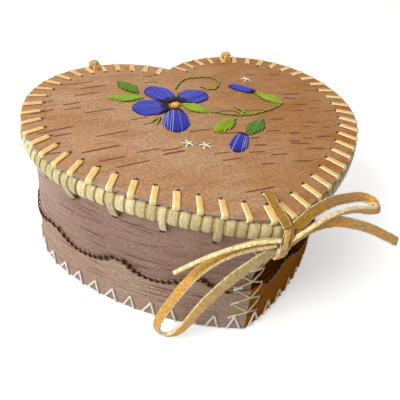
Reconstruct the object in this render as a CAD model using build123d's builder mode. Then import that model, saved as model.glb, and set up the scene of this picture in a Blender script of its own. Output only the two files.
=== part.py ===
from build123d import *
import os
from math import acos, cos, degrees, pi, radians, sin, sqrt, tan

# A heart-shaped birch bark basket with a hinged lid. Two bark walls meet at a laced seam
# at the tip and at the cleft, a hoop whipped with split root stiffens the rim, and the lid
# is edged with root stitches and carries a flower worked in dyed quills.
# Millimetres. The tip of the heart points to -Y, +Z is up, the origin is on the underside
# of the base, below the middle of the line that joins the centres of the two lobes.

# Lid outline: each half is a lobe arc, a flank arc and a tip arc, tangent to each other
lid_reach = 106.7
cleft_turn = 132.4115
lobe_radius = 53.1
flank_radius = 75.8
lobe_turn = 17.8
flank_turn = 41.7

# Waist and base outlines of the walls, which draw in at the tip
waist_height = 38.0
waist_reach = 95.4
waist_flank_radius = 61.0
waist_flank_turn = 34.0
waist_inset = 2.0
base_reach = 95.9
base_flank_radius = 54.0
base_flank_turn = 28.5
base_inset = 0.3

# Bark
basket_height = 82.6
wall_inset = 4.0
wall_thickness = 1.4
base_thickness = 1.6
band_thickness = 1.0
band_foot = 0.6
lid_panel_thickness = 1.0
lining_thickness = 0.6
lining_inset = 0.4
fit_clearance = 0.1
lid_clearance = 0.3
cut_overrun = 1.0

# Wavy top edge of the lower bark band
band_height = 35.2
wave_depth = 6.6
wave_pitch = 44.5
wave_width = 38.0
wave_lead = 7.0

# Rim hoop and its whipping of split root
hoop_overhang = 0.9
root_thickness = 0.6
whip_height = 8.8
whip_pitch = 4.6
whip_gap = 0.25
long_stitch_every = 5
long_stitch_drop = 7.0
long_stitch_width = 3.4

# Root stitches round the edge of the lid
edge_stitch_pitch = 9.6
edge_stitch_width = 3.2
edge_stitch_length = 9.6
edge_stitch_thickness = 0.5
edge_stitch_slant = 14.0
awl_hole = 1.3

# Sinew stitches along the foot of the wall and lacing of the two seams
sinew_width = 0.9
sinew_thickness = 0.6
sinew_bend_radius = 0.55
foot_stitch_pitch = 11.0
foot_stitch_height = 9.2
foot_stitch_spread = 6.8
foot_stitch_foot = 1.2
lacing_rows = 6
lacing_pitch = 10.4
lacing_start = 9.5
lacing_reach = 9.0

# Dark root stitches below the wavy edge of the band
wave_stitch_pitch = 3.4
wave_stitch_length = 2.5
wave_stitch_width = 1.5
wave_stitch_thickness = 0.7
wave_stitch_drop = 0.9

# Leather thongs: a flat strip, and for its free stretches a round tube of the same section area
thong_width = 4.4
thong_thickness = 1.8
thong_tube = 3.2
knot_width = 7.0
knot_depth = 6.0
knot_height = 10.5
knot_round = 2.4
knot_x = -3.0
knot_gap = 0.3
tie_hole = 4.2
tie_hole_inset = 18.0
tie_stop_width = 7.0
tie_stop_height = 2.0
wall_thong_drop = 4.2
hinge_x = 44.0
hinge_knot = 6.2
hinge_gap = 0.4
hinge_drop = 4.0

# Routes of the bow's free stretches, as corner points from the middle of the knot
bow_routes = {
    "bow_loop_left": [
        (-2.2, 1.2, -1.5), (-10.6, 5.6, -5.0), (-20.3, 10.8, -13.0), (-28.3, 15.0, -24.0),
        (-34.4, 18.3, -39.0), (-39.3, 20.9, -53.0), (-43.3, 23.0, -65.5), (-41.9, 22.3, -73.0),
        (-35.8, 19.0, -73.5), (-30.0, 15.9, -62.0), (-25.2, 13.4, -47.0), (-18.1, 9.6, -31.0),
        (-10.6, 5.6, -17.0), (-2.0, 1.0, -4.5)],
    "bow_end_left": [
        (-2.5, -0.6, 2.0), (-7.5, 1.2, 1.6), (-13.5, 3.5, -0.6), (-22.5, 7.0, -5.6),
        (-31.0, 10.4, -12.2), (-39.0, 13.2, -19.2)],
    "bow_loop_right": [
        (2.5, 1.0, 3.5), (9.0, 2.6, 8.2), (18.0, 5.3, 9.6), (28.0, 8.6, 8.0), (38.5, 11.6, 4.4),
        (46.0, 13.2, 2.2), (50.4, 11.2, 0.8), (50.2, 6.0, 0.6), (45.2, 4.2, 1.6), (36.5, 4.0, 4.8),
        (26.5, 2.4, 7.2), (15.0, -0.4, 7.6), (7.5, -1.8, 5.0), (2.0, -1.6, 0.5)],
    "bow_end_right": [
        (2.5, 0.0, -1.5), (8.0, 0.8, 1.6), (15.0, 1.6, 3.4), (24.0, 1.7, 3.4), (35.0, 1.4, -1.0),
        (45.0, 1.6, -6.2), (55.0, 1.2, -12.6), (65.5, 1.5, -19.8)],
}
fillet_share = 0.45

# Quillwork
quill_width = 1.45
quill_thickness = 0.7
petal_quills = 9
petal_waist_share = 0.34
petal_crown_share = 0.34
leaf_quills = 9
leaf_lean = 38.0
centre_radius = 2.6
plait_step = 2.5
plait_lean = 24.0
plait_reach_share = 0.65
star_ray = 2.4
star_quill = 0.7
star_rays = 5

# Motif places on the lid, as shares of half the lid's width: from, to and breadth
petal_shares = {
    "petal_left": ((-0.182, -0.092), (-0.389, -0.048), 0.150),
    "petal_upper_left": ((-0.140, -0.036), (-0.220, 0.201), 0.150),
    "petal_upper_right": ((-0.094, -0.042), (0.118, 0.062), 0.150),
    "petal_lower": ((-0.146, -0.128), (-0.228, -0.367), 0.172),
    "bud_upper": ((0.430, -0.009), (0.309, 0.120), 0.088),
    "bud_lower": ((0.104, -0.484), (0.023, -0.632), 0.102),
}
leaf_shares = {
    "leaf_beside_flower": [((-0.096, -0.060), (0.036, -0.202), 0.078)],
    "leaves_left": [((-0.387, 0.322), (-0.306, 0.117), 0.084), ((-0.504, 0.101), (-0.283, 0.056), 0.084)],
    "leaves_lower": [((-0.026, -0.424), (0.164, -0.300), 0.094), ((0.149, -0.492), (0.328, -0.337), 0.098)],
    "leaf_of_upper_bud": [((0.430, -0.009), (0.543, -0.203), 0.070)],
}
stem_shares = [(0.046, -0.194), (0.112, -0.234), (0.193, -0.276), (0.273, -0.284), (0.369, -0.266),
               (0.477, -0.232), (0.536, -0.193)]
tendril_shares = [(-0.061, 0.130), (-0.021, 0.198), (0.053, 0.269), (0.162, 0.269), (0.238, 0.246),
                  (0.253, 0.171), (0.206, 0.093), (0.149, 0.086), (0.117, 0.129)]
sprig_shares = [((-0.258, -0.191), (-0.328, -0.231)), ((-0.263, -0.201), (-0.306, -0.261)),
                ((0.268, -0.280), (0.215, -0.166)), ((0.225, -0.262), (0.262, -0.196))]
star_shares = [(-0.203, -0.492), (-0.120, -0.533), (0.466, 0.181)]
flower_share = (-0.134, -0.081)

# Worked out from the sizes above
lobe_centre = -lobe_radius * cos(radians(cleft_turn))
half_width = lobe_centre + flank_radius - (flank_radius - lobe_radius) * cos(radians(lobe_turn))
coil_face = hoop_overhang + root_thickness
whip_depth = wall_inset - fit_clearance + coil_face
coil_inset = whip_depth / 2 - coil_face
hoop_depth = whip_depth - 2 * root_thickness
hoop_height = whip_height - 2 * root_thickness
coil_middle = basket_height - whip_height / 2
coil_foot = basket_height - whip_height
wall_top = basket_height - root_thickness - fit_clearance
lining_bottom = basket_height + lid_clearance + edge_stitch_thickness
lid_bottom = lining_bottom + lining_thickness
lid_top = lid_bottom + lid_panel_thickness
lid_outline = (lid_reach, flank_radius, flank_turn)
wall_levels = [
    (0.0, base_inset, (base_reach, base_flank_radius, base_flank_turn)),
    (waist_height, waist_inset, (waist_reach, waist_flank_radius, waist_flank_turn)),
    (coil_foot, wall_inset, lid_outline),
    (wall_top, wall_inset, lid_outline),
]
wall_lean = (wall_inset - waist_inset) / (coil_foot - waist_height)
up = Vector(0, 0, 1)


def polar(radius, angle):
    return Vector(radius * cos(radians(angle)), radius * sin(radians(angle)))


def heart(inset, outline):
    """The three arcs of a right half, cleft to tip, as centre, radius, first angle and turn."""
    reach, flank, turn = outline
    lobe = Vector(lobe_centre, 0)
    flank_middle = lobe - polar(flank - lobe_radius, lobe_turn)
    shoulder = flank_middle + polar(flank, -turn)
    chord = Vector(0, -reach) - shoulder
    tip_radius = -chord.length ** 2 / (2 * chord.dot(polar(1, -turn)))
    tip_middle = shoulder - polar(tip_radius, -turn)
    cleft = degrees(acos(-lobe.X / (lobe_radius - inset)))
    tip = -degrees(acos(-tip_middle.X / (tip_radius - inset)))
    return [
        (lobe, lobe_radius - inset, cleft, lobe_turn - cleft),
        (flank_middle, flank - inset, lobe_turn, -turn - lobe_turn),
        (tip_middle, tip_radius - inset, -turn, tip + turn),
    ]


def heart_sketch(height, inset, outline):
    """The whole heart as a face at one height."""
    with BuildSketch(Plane.XY.offset(height)) as face:
        with BuildLine():
            for centre, radius, first, turn in heart(inset, outline):
                CenterArc((centre.X, centre.Y), radius, first, turn)
            mirror(about=Plane.YZ)
        make_face()
    return face.sketch


def half_length(inset, outline):
    return sum(radius * radians(abs(turn)) for centre, radius, first, turn in heart(inset, outline))


def place_at(inset, outline, distance):
    """How far along a half outline a distance from the cleft falls: arc number plus its share."""
    for number, (centre, radius, first, turn) in enumerate(heart(inset, outline)):
        length = radius * radians(abs(turn))
        if distance <= length or number == 2:
            return number + distance / length
        distance -= length


def point_and_normal(inset, outline, place):
    number = min(int(place), 2)
    centre, radius, first, turn = heart(inset, outline)[number]
    angle = first + turn * (place - number)
    return centre + polar(radius, angle), polar(1, angle)


def rim_plane(inset, distance, height, lean=0.0):
    """Plane square to the rim: X outward and leaned to the tip, Y up, Z along the rim to the tip."""
    place = place_at(inset, lid_outline, distance)
    point, normal = point_and_normal(inset, lid_outline, place)
    outward = normal * cos(radians(lean)) + normal.cross(up) * sin(radians(lean))
    return Plane(origin=point + up * height, x_dir=outward, z_dir=outward.cross(up))


def wall_point(place, height, stand_off=0.0):
    """A point on the outer face of the right wall, stood off outward, with its normal."""
    lower = max(number for number in range(3) if number == 0 or height >= wall_levels[number][0])
    low_height, low_inset, low_outline = wall_levels[lower]
    top_height, top_inset, top_outline = wall_levels[lower + 1]
    share = (height - low_height) / (top_height - low_height)
    low_point, low_normal = point_and_normal(low_inset, low_outline, place)
    top_point, top_normal = point_and_normal(top_inset, top_outline, place)
    low_point = low_point + up * low_height
    top_point = top_point + up * top_height
    normal = (low_normal * (1 - share) + top_normal * share).normalized()
    return low_point * (1 - share) + top_point * share + normal * stand_off, normal, top_point - low_point


def wall_plane(place, height, stand_off=0.0):
    """Plane on the outer face of the right wall: X up the wall, Y to the tip, Z outward."""
    point, normal, rise = wall_point(place, height, stand_off)
    along = normal.cross(up)
    return Plane(origin=point, x_dir=rise, z_dir=rise.cross(along))


def band_edge(distance):
    """Height of the band's scalloped top edge at a distance from the cleft along the base."""
    from_trough = (foot_length - distance - wave_lead) % wave_pitch
    from_trough = min(from_trough, wave_pitch - from_trough)
    if from_trough > wave_width / 2:
        return band_height
    return band_height + scallop_rise - sqrt(scallop_radius ** 2 - from_trough ** 2)


def rod(start, end, diameter):
    with Locations(Plane(origin=start, z_dir=end - start)):
        Cylinder(diameter / 2, (end - start).length, align=(Align.CENTER, Align.CENTER, Align.MIN))


def mirror_x(point):
    return Vector(-point.X, point.Y, point.Z)


def left_of(right_part):
    with BuildPart() as left:
        mirror(right_part.part, about=Plane.YZ)
    return left


def share_point(share):
    return Vector(share[0] * half_width, share[1] * half_width)


pieces = {}

# Base panel, inside the foot of the walls
with BuildPart() as base_panel:
    panel_inset = base_inset + wall_thickness + fit_clearance
    add(heart_sketch(0.0, panel_inset, wall_levels[0][2]))
    extrude(amount=base_thickness)
pieces["base_panel"] = base_panel

# Bark walls: a heart-shaped shell parted at the cleft and the tip
with BuildPart() as wall_shell:
    for height, inset, outline in wall_levels:
        add(heart_sketch(height, inset, outline))
    loft(ruled=True)
    for height, inset, outline in wall_levels:
        add(heart_sketch(height, inset + wall_thickness, outline))
    loft(ruled=True, mode=Mode.SUBTRACT)

with BuildPart() as wall_right:
    add(wall_shell.part)
    split(bisect_by=Plane.YZ, keep=Keep.TOP)
pieces["wall_right"] = wall_right
wall_left = left_of(wall_right)
pieces["wall_left"] = wall_left

# Lower bark band, sewn on outside the walls, with scallops cut from its top edge
foot_length = half_length(base_inset, wall_levels[0][2])
scallop_radius = ((wave_width / 2) ** 2 + wave_depth ** 2) / (2 * wave_depth)
scallop_rise = scallop_radius - wave_depth
with BuildPart() as band_right:
    for height, inset, outline in wall_levels[:2]:
        add(heart_sketch(height, inset - band_thickness, outline))
    loft(ruled=True)
    for height, inset, outline in wall_levels[:2]:
        add(heart_sketch(height, inset, outline))
    loft(ruled=True, mode=Mode.SUBTRACT)
    split(bisect_by=Plane.YZ, keep=Keep.TOP)
    with BuildSketch(Plane.XY.offset(band_foot)):
        Rectangle(4 * half_width, 4 * half_width)
    extrude(amount=-band_foot - cut_overrun, mode=Mode.SUBTRACT)
    with BuildSketch(Plane.XY.offset(band_height)):
        Rectangle(4 * half_width, 4 * half_width)
    extrude(amount=waist_height - band_height + cut_overrun, mode=Mode.SUBTRACT)
    scallop_depth = 2 * (band_thickness + cut_overrun) + wall_thickness
    for number in range(int((foot_length - wave_lead) / wave_pitch) + 1):
        place = place_at(base_inset, wall_levels[0][2], foot_length - wave_lead - number * wave_pitch)
        point, normal, rise = wall_point(place, band_height)
        with Locations(Plane(origin=point + up * scallop_rise, z_dir=normal)):
            Cylinder(scallop_radius, scallop_depth, mode=Mode.SUBTRACT)
pieces["band_right"] = band_right
band_left = left_of(band_right)
pieces["band_left"] = band_left

# Rim hoops, one to each half, under the whipping
hoop_outline = heart(coil_inset, lid_outline)
with BuildPart() as rim_hoop_right:
    with BuildLine(Plane.XY.offset(coil_middle)) as hoop_route:
        for number, (centre, radius, first, turn) in enumerate(hoop_outline):
            spare = degrees(2 * hoop_depth / radius)
            start = first + (spare if number == 0 else 0)
            CenterArc((centre.X, centre.Y), radius, start, turn - (spare if number != 1 else 0))
    with BuildSketch(Plane(origin=hoop_route.line @ 0, z_dir=hoop_route.line % 0, x_dir=up)):
        Ellipse(hoop_height / 2, hoop_depth / 2)
    sweep()
    split(bisect_by=Plane.YZ, keep=Keep.TOP)
pieces["rim_hoop_right"] = rim_hoop_right
rim_hoop_left = left_of(rim_hoop_right)
pieces["rim_hoop_left"] = rim_hoop_left

# Whipping: flat turns of split root round the hoop, and every fifth one caught in the wall
hoop_length = half_length(coil_inset, lid_outline)
turn_count = int(hoop_length / whip_pitch)
turn_step = hoop_length / turn_count
turn_places = [turn_step * (number + 1 / 2) for number in range(turn_count)]
turn_planes = [rim_plane(coil_inset, distance, coil_middle) for distance in turn_places]
long_planes = turn_planes[::-long_stitch_every]
short_planes = [plane for plane in turn_planes if plane not in long_planes]

with BuildPart() as whip_turn:
    with BuildSketch():
        Ellipse(whip_depth / 2, whip_height / 2)
        Ellipse(hoop_depth / 2, hoop_height / 2, mode=Mode.SUBTRACT)
    extrude(amount=(turn_step - whip_gap) / 2, both=True)

with BuildPart() as rim_whipping_right:
    with Locations(*short_planes):
        add(whip_turn.part)
pieces["rim_whipping_right"] = rim_whipping_right
rim_whipping_left = left_of(rim_whipping_right)
pieces["rim_whipping_left"] = rim_whipping_left

with BuildPart() as long_stitch:
    with BuildSketch():
        Ellipse(whip_depth / 2, whip_height / 2)
        Ellipse(hoop_depth / 2, hoop_height / 2, mode=Mode.SUBTRACT)
        tail = root_thickness / 2 - whip_depth / 2 - fit_clearance
        with BuildLine():
            Polyline(
                (tail + root_thickness / 2, -whip_height / 4),
                (tail, -whip_height / 2),
                (tail + wall_lean * long_stitch_drop, -whip_height / 2 - long_stitch_drop),
                (tail - wall_thickness, -whip_height / 2 - long_stitch_drop),
            )
        trace(line_width=root_thickness)
    extrude(amount=long_stitch_width / 2, both=True)

with BuildPart() as rim_long_stitches_right:
    with Locations(*long_planes):
        add(long_stitch.part)
pieces["rim_long_stitches_right"] = rim_long_stitches_right
rim_long_stitches_left = left_of(rim_long_stitches_right)
pieces["rim_long_stitches_left"] = rim_long_stitches_left

# Sinew stitches along the foot: an inverted V that catches the wall and the base panel
with BuildPart() as foot_stitch:
    with BuildSketch():
        with BuildLine():
            Polyline(
                (foot_stitch_foot, -foot_stitch_spread / 2),
                (foot_stitch_foot + foot_stitch_height, 0),
                (foot_stitch_foot, foot_stitch_spread / 2),
            )
        trace(line_width=sinew_width)
    extrude(amount=sinew_thickness)
    with BuildSketch():
        with Locations(
            (foot_stitch_foot, -foot_stitch_spread / 2),
            (foot_stitch_foot + foot_stitch_height, 0),
            (foot_stitch_foot, foot_stitch_spread / 2),
        ):
            Circle(sinew_width / 2)
    extrude(amount=-band_thickness - wall_thickness)

foot_count = int(foot_length / foot_stitch_pitch)
foot_step = foot_length / foot_count
with BuildPart() as base_stitches_right:
    for number in range(foot_count):
        place = place_at(base_inset, wall_levels[0][2], foot_step * (number + 1 / 2))
        with Locations(wall_plane(place, 0.0, band_thickness)):
            add(foot_stitch.part)
pieces["base_stitches_right"] = base_stitches_right
base_stitches_left = left_of(base_stitches_right)
pieces["base_stitches_left"] = base_stitches_left

# Dark root stitches that follow the scalloped edge from the lacing of one seam to the other
wave_count = int((foot_length - 2 * lacing_reach) / wave_stitch_pitch) - 1
with BuildPart() as wave_stitches_right:
    for number in range(wave_count):
        distance = foot_length - lacing_reach - wave_stitch_pitch * (number + 1)
        here = place_at(base_inset, wall_levels[0][2], distance)
        ahead = place_at(base_inset, wall_levels[0][2], distance + wave_stitch_length / 2)
        point, normal, rise = wall_point(here, band_edge(distance) - wave_stitch_drop, band_thickness)
        onward, ahead_normal, ahead_rise = wall_point(
            ahead, band_edge(distance + wave_stitch_length / 2) - wave_stitch_drop, band_thickness)
        with Locations(Plane(origin=point, x_dir=onward - point, z_dir=normal)):
            Box(wave_stitch_length, wave_stitch_width, 2 * wave_stitch_thickness)
pieces["wave_stitches_right"] = wave_stitches_right
wave_stitches_left = left_of(wave_stitches_right)
pieces["wave_stitches_left"] = wave_stitches_left


def lacing_hole(height):
    """Where a lacing thread enters the right wall beside the tip, and where it turns the corner."""
    lift = band_thickness if height < band_height else 0.0
    tip_length = heart(base_inset, wall_levels[0][2])[2]
    place = 3 - lacing_reach / (tip_length[1] * radians(abs(tip_length[3])))
    hole, normal, rise = wall_point(place, height, lift + sinew_thickness / 2)
    corner, corner_normal, corner_rise = wall_point(3, height, lift + sinew_thickness / 2)
    return hole, normal, Vector(0, corner.Y - sinew_thickness / 2, corner.Z)


def cleft_hole(height):
    """Where a lacing thread enters the right wall beside the cleft."""
    lift = band_thickness if height < band_height else 0.0
    place = lacing_reach / (lobe_radius * radians(abs(hoop_outline[0][3])))
    return wall_point(place, height, lift + sinew_thickness / 2)


def rooted(hole, normal):
    """A thread's bend at a hole on both walls, and its way through the bark."""
    inner = hole - normal * (wall_thickness + band_thickness)
    for start, end in ((hole, inner), (mirror_x(hole), mirror_x(inner))):
        rod(start, end, sinew_width)
        with Locations(start):
            Sphere(sinew_bend_radius)


# Lacing of the tip seam: crossed threads from wall to wall round the corner
with BuildPart() as front_seam_lacing:
    for number in range(lacing_rows - 1):
        low = lacing_start + number * lacing_pitch
        high = low + lacing_pitch
        low_hole, low_normal, low_corner = lacing_hole(low)
        high_hole, high_normal, high_corner = lacing_hole(high)
        middle = lacing_hole((low + high) / 2)[2]
        for first, second in ((low_hole, high_hole), (high_hole, low_hole)):
            rod(first, middle, sinew_width)
            rod(middle, mirror_x(second), sinew_width)
        with Locations(middle):
            Sphere(sinew_width / 2)
    for number in range(lacing_rows):
        hole, normal, corner = lacing_hole(lacing_start + number * lacing_pitch)
        inner = hole - normal * (wall_thickness + band_thickness)
        rod(hole + normal * sinew_width / 2, inner, sinew_width)
        rod(mirror_x(hole + normal * sinew_width / 2), mirror_x(inner), sinew_width)
pieces["front_seam_lacing"] = front_seam_lacing

# Lacing of the cleft seam: the threads bridge the cleft
with BuildPart() as back_seam_lacing:
    for number in range(lacing_rows):
        height = lacing_start + number * lacing_pitch
        hole, normal, rise = cleft_hole(height)
        rooted(hole, normal)
        rod(hole, mirror_x(hole), sinew_width)
        if number < lacing_rows - 1:
            above = cleft_hole(height + lacing_pitch)[0]
            rod(hole, mirror_x(above), sinew_width)
            rod(mirror_x(hole), above, sinew_width)
pieces["back_seam_lacing"] = back_seam_lacing

# Lid: bark panel and lining, pierced by the awl and by the tie hole
lid_tip = point_and_normal(0, lid_outline, 3)[0]
tie_place = (0, lid_tip.Y + tie_hole_inset)
lid_length = half_length(0, lid_outline)
stitch_count = int(lid_length / edge_stitch_pitch)
stitch_planes = []
for number in range(stitch_count):
    share = (number + 1 / 2) / stitch_count
    lean = edge_stitch_slant * min(1, 2 * share)
    stitch_planes.append(rim_plane(0, lid_length * share, lining_bottom, lean))
awl_points = [plane.from_local_coords((-edge_stitch_length, 0, 0)) for plane in stitch_planes]
awl_points += [mirror_x(point) for point in awl_points]


def pierced_panel(bottom, thickness, inset):
    with BuildPart() as panel:
        add(heart_sketch(bottom, inset, lid_outline))
        extrude(amount=thickness)
        with BuildSketch(Plane.XY.offset(bottom)):
            with Locations(*[(point.X, point.Y) for point in awl_points]):
                Circle(awl_hole / 2)
            with Locations(tie_place):
                Circle(tie_hole / 2)
        extrude(amount=thickness, mode=Mode.SUBTRACT)
    return panel


lid_panel = pierced_panel(lid_bottom, lid_panel_thickness, 0.0)
pieces["lid_panel"] = lid_panel
lid_lining = pierced_panel(lining_bottom, lining_thickness, lining_inset)
pieces["lid_lining"] = lid_lining

# Root stitches over the edge of the lid, each down through its own awl hole
lid_stack = lining_thickness + lid_panel_thickness
with BuildPart() as edge_stitch:
    with BuildSketch():
        with Locations((-edge_stitch_length / 2, lid_stack / 2)):
            Rectangle(edge_stitch_length + 2 * edge_stitch_thickness, lid_stack + 2 * edge_stitch_thickness)
            Rectangle(edge_stitch_length, lid_stack, mode=Mode.SUBTRACT)
        with Locations((-edge_stitch_length - edge_stitch_thickness / 2, lid_stack / 2)):
            Rectangle(edge_stitch_thickness, lid_stack, mode=Mode.SUBTRACT)
    extrude(amount=edge_stitch_width / 2, both=True)
    with BuildSketch(Plane.XZ):
        with Locations((-edge_stitch_length, 0)):
            Circle(awl_hole / 2 - fit_clearance)
    extrude(amount=-lid_stack)

with BuildPart() as lid_stitches_right:
    with Locations(*stitch_planes):
        add(edge_stitch.part)
pieces["lid_stitches_right"] = lid_stitches_right
lid_stitches_left = left_of(lid_stitches_right)
pieces["lid_stitches_left"] = lid_stitches_left


def strip_sketch(start, end, width):
    """A flat quill with round ends from one point to another, on the lid."""
    run = end - start
    with Locations(Location((start + run / 2), degrees_of(run))):
        SlotOverall(run.length + width, width)


def degrees_of(run):
    return Vector(1, 0, 0).get_signed_angle(Vector(run.X, run.Y, 0), up)


def quill_part(draw):
    with BuildPart() as work:
        with BuildSketch(Plane.XY.offset(lid_top)):
            draw()
        extrude(amount=quill_thickness)
    return work


def draw_petal(start, end, breadth):
    """Quills fanned from the heart of the flower to a rounded outer edge."""
    run = end - start
    across = Vector(-run.Y, run.X).normalized()
    for number in range(petal_quills):
        side = 2 * number / (petal_quills - 1) - 1
        foot = start + across * side * breadth / 2 * petal_waist_share
        crown = start + run * (1 - side ** 2 * petal_crown_share) + across * side * (breadth - quill_width) / 2
        strip_sketch(foot, crown, quill_width)


def draw_leaf(start, end, breadth):
    """Quills slanting out from both sides of a midrib, inside a pointed outline."""
    run = end - start
    strip_sketch(start, end, quill_width)
    for number in range(leaf_quills):
        share = (number + 1 / 2) / leaf_quills
        reach = breadth / 2 * sin(pi * share) / sin(radians(leaf_lean))
        for side in (1, -1):
            lean = (run.normalized() * reach).rotate(Axis.Z, side * leaf_lean)
            strip_sketch(start + run * share, start + run * share + lean * (1 - share / 2), quill_width)


def draw_plait(shares):
    """Short quills laid to and fro along a curved line."""
    with BuildLine(mode=Mode.PRIVATE):
        line = Spline(*[share_point(share) for share in shares])
    count = int(line.length / plait_step)
    for number in range(count):
        middle = line @ ((number + 1 / 2) / count)
        lean = plait_lean if number % 2 else -plait_lean
        half = (line % ((number + 1 / 2) / count)).rotate(Axis.Z, lean) * plait_step * plait_reach_share
        strip_sketch(middle - half, middle + half, quill_width)


# Quillwork on the lid
for name, (start, end, breadth) in petal_shares.items():
    petal = quill_part(lambda: draw_petal(share_point(start), share_point(end), breadth * half_width))
    pieces[name] = petal
for name, leaves in leaf_shares.items():
    leaf = quill_part(lambda: [draw_leaf(share_point(start), share_point(end), breadth * half_width)
                               for start, end, breadth in leaves])
    pieces[name] = leaf
pieces["stem"] = quill_part(lambda: draw_plait(stem_shares))
pieces["tendril"] = quill_part(lambda: draw_plait(tendril_shares))
pieces["sprigs"] = quill_part(
    lambda: [strip_sketch(share_point(start), share_point(end), quill_width) for start, end in sprig_shares])


def draw_stars():
    for share in star_shares:
        for ray in range(star_rays):
            middle = share_point(share)
            strip_sketch(middle, middle + polar(star_ray, 90 + 360 * ray / star_rays), star_quill)


pieces["stars"] = quill_part(draw_stars)

with BuildPart() as flower_centre:
    with BuildSketch(Plane.XY.offset(lid_top)):
        middle = share_point(flower_share)
        with Locations((middle.X, middle.Y)):
            Circle(centre_radius)
    extrude(amount=2 * quill_thickness)
    chamfer(flower_centre.edges().group_by(Axis.Z)[-1], quill_thickness / 2)
pieces["flower_centre"] = flower_centre

# Bow knot in front of the rim, under the tip of the lid
rim_face = point_and_normal(-coil_face, lid_outline, 3)[0].Y
strap_bottom = lid_top + edge_stitch_thickness + fit_clearance
knot_level = strap_bottom - knot_gap - knot_height / 2
knot_middle = Vector(knot_x, rim_face - knot_gap - knot_depth / 2, knot_level)
with BuildPart() as bow_knot:
    with Locations(knot_middle):
        Box(knot_width, knot_depth, knot_height)
    fillet(bow_knot.edges(), knot_round)
pieces["bow_knot"] = bow_knot

# Thong on the lid: down through the tie hole, and over the tip to just above the knot
with BuildPart() as lid_thong:
    with BuildSketch(Plane.XY.offset(strap_bottom)):
        with BuildLine():
            Polyline((tie_place[0], tie_place[1]), (knot_middle.X, knot_middle.Y))
        trace(line_width=thong_width)
    extrude(amount=thong_thickness)
    with BuildSketch(Plane.XY.offset(lining_bottom - lid_clearance)):
        with Locations(tie_place):
            Circle(tie_hole / 2 - fit_clearance)
    extrude(amount=strap_bottom - lining_bottom + lid_clearance + fit_clearance)
    with BuildSketch(Plane.XY.offset(lining_bottom - lid_clearance)):
        with Locations(tie_place):
            Circle(tie_stop_width / 2)
    extrude(amount=-tie_stop_height)
pieces["lid_thong"] = lid_thong

# Thong from the wall, under the rim, up to the knot
thong_level = coil_foot - wall_thong_drop
wall_face = wall_point(3, thong_level)[0].Y
with BuildPart() as wall_thong:
    with BuildSketch(Plane.YZ.offset(knot_middle.X)):
        with BuildLine():
            Polyline(
                (wall_face + wall_thickness, thong_level),
                (knot_middle.Y + thong_thickness, thong_level),
                (knot_middle.Y, coil_foot - thong_thickness),
                (knot_middle.Y, knot_middle.Z - knot_height / 2 + knot_round),
            )
        trace(line_width=thong_thickness)
    extrude(amount=thong_width / 2, both=True)
pieces["wall_thong"] = wall_thong

# Hinge thongs: a knot on the back edge of each lobe, and a strip behind the rim into the wall
hinge_angle = degrees(acos((hinge_x - lobe_centre) / lobe_radius))
hinge_frame = rim_plane(0, lobe_radius * radians(heart(0, lid_outline)[0][2] - hinge_angle), 0.0)
with BuildPart() as hinge_knot_right:
    with BuildSketch(hinge_frame):
        with Locations((coil_face, lid_top + edge_stitch_thickness)):
            Rectangle(hinge_knot + coil_face, thong_thickness, align=(Align.MAX, Align.MIN))
    extrude(amount=thong_width / 2, both=True)
    with Locations(hinge_frame.from_local_coords((-hinge_knot / 3, lid_top + hinge_knot / 2, 0))):
        Sphere(hinge_knot / 2)
pieces["hinge_knot_right"] = hinge_knot_right
hinge_knot_left = left_of(hinge_knot_right)
pieces["hinge_knot_left"] = hinge_knot_left

with BuildPart() as hinge_tie_right:
    with BuildSketch(hinge_frame):
        with BuildLine():
            Polyline(
                (coil_face + hinge_gap + thong_thickness / 2, lid_top + edge_stitch_thickness + thong_thickness),
                (coil_face + hinge_gap + thong_thickness / 2, coil_foot - hinge_drop),
                (-wall_inset - wall_thickness, coil_foot - hinge_drop),
            )
        trace(line_width=thong_thickness)
    extrude(amount=thong_width / 2, both=True)
pieces["hinge_tie_right"] = hinge_tie_right
hinge_tie_left = left_of(hinge_tie_right)
pieces["hinge_tie_left"] = hinge_tie_left

# Free stretches of the bow
for name, points in bow_routes.items():
    route = [knot_middle + Vector(*point) for point in points]
    runs = [after - before for before, after in zip(route, route[1:])]
    radii = []
    for before, after in zip(runs, runs[1:]):
        half_turn = radians(before.get_angle(after)) / 2
        radii.append(fillet_share * min(before.length, after.length) / tan(half_turn))
    with BuildPart() as stretch:
        with BuildLine():
            line = FilletPolyline(*route, radius=radii)
        with BuildSketch(Plane(origin=line @ 0, z_dir=line % 0)):
            Circle(thong_tube / 2)
        sweep()
    pieces[name] = stretch
    expected = pi * thong_tube ** 2 / 4 * line.length
    print(f"{name}: length {line.length:.1f}, radii {[round(radius, 1) for radius in radii]},",
          f"volume {stretch.part.volume:.1f} of {expected:.1f}")

hinge_level = lining_bottom - edge_stitch_thickness
print(f"lid stitches {2 * stitch_count}, whipping turns {2 * turn_count}")
print(f"foot stitches {2 * foot_count}, wave stitches {2 * wave_count}")
print(f"lid top {lid_top:.2f}, hinge axis at y {lobe_radius + coil_face:.2f}, z {hinge_level:.2f}")

os.makedirs("parts", exist_ok=True)
for name, piece in pieces.items():
    piece.part.label = name
    export_step(piece.part, f"parts/{name}.step")
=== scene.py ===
from math import acos, cos, degrees, pi, radians, sin, sqrt, tau

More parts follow.
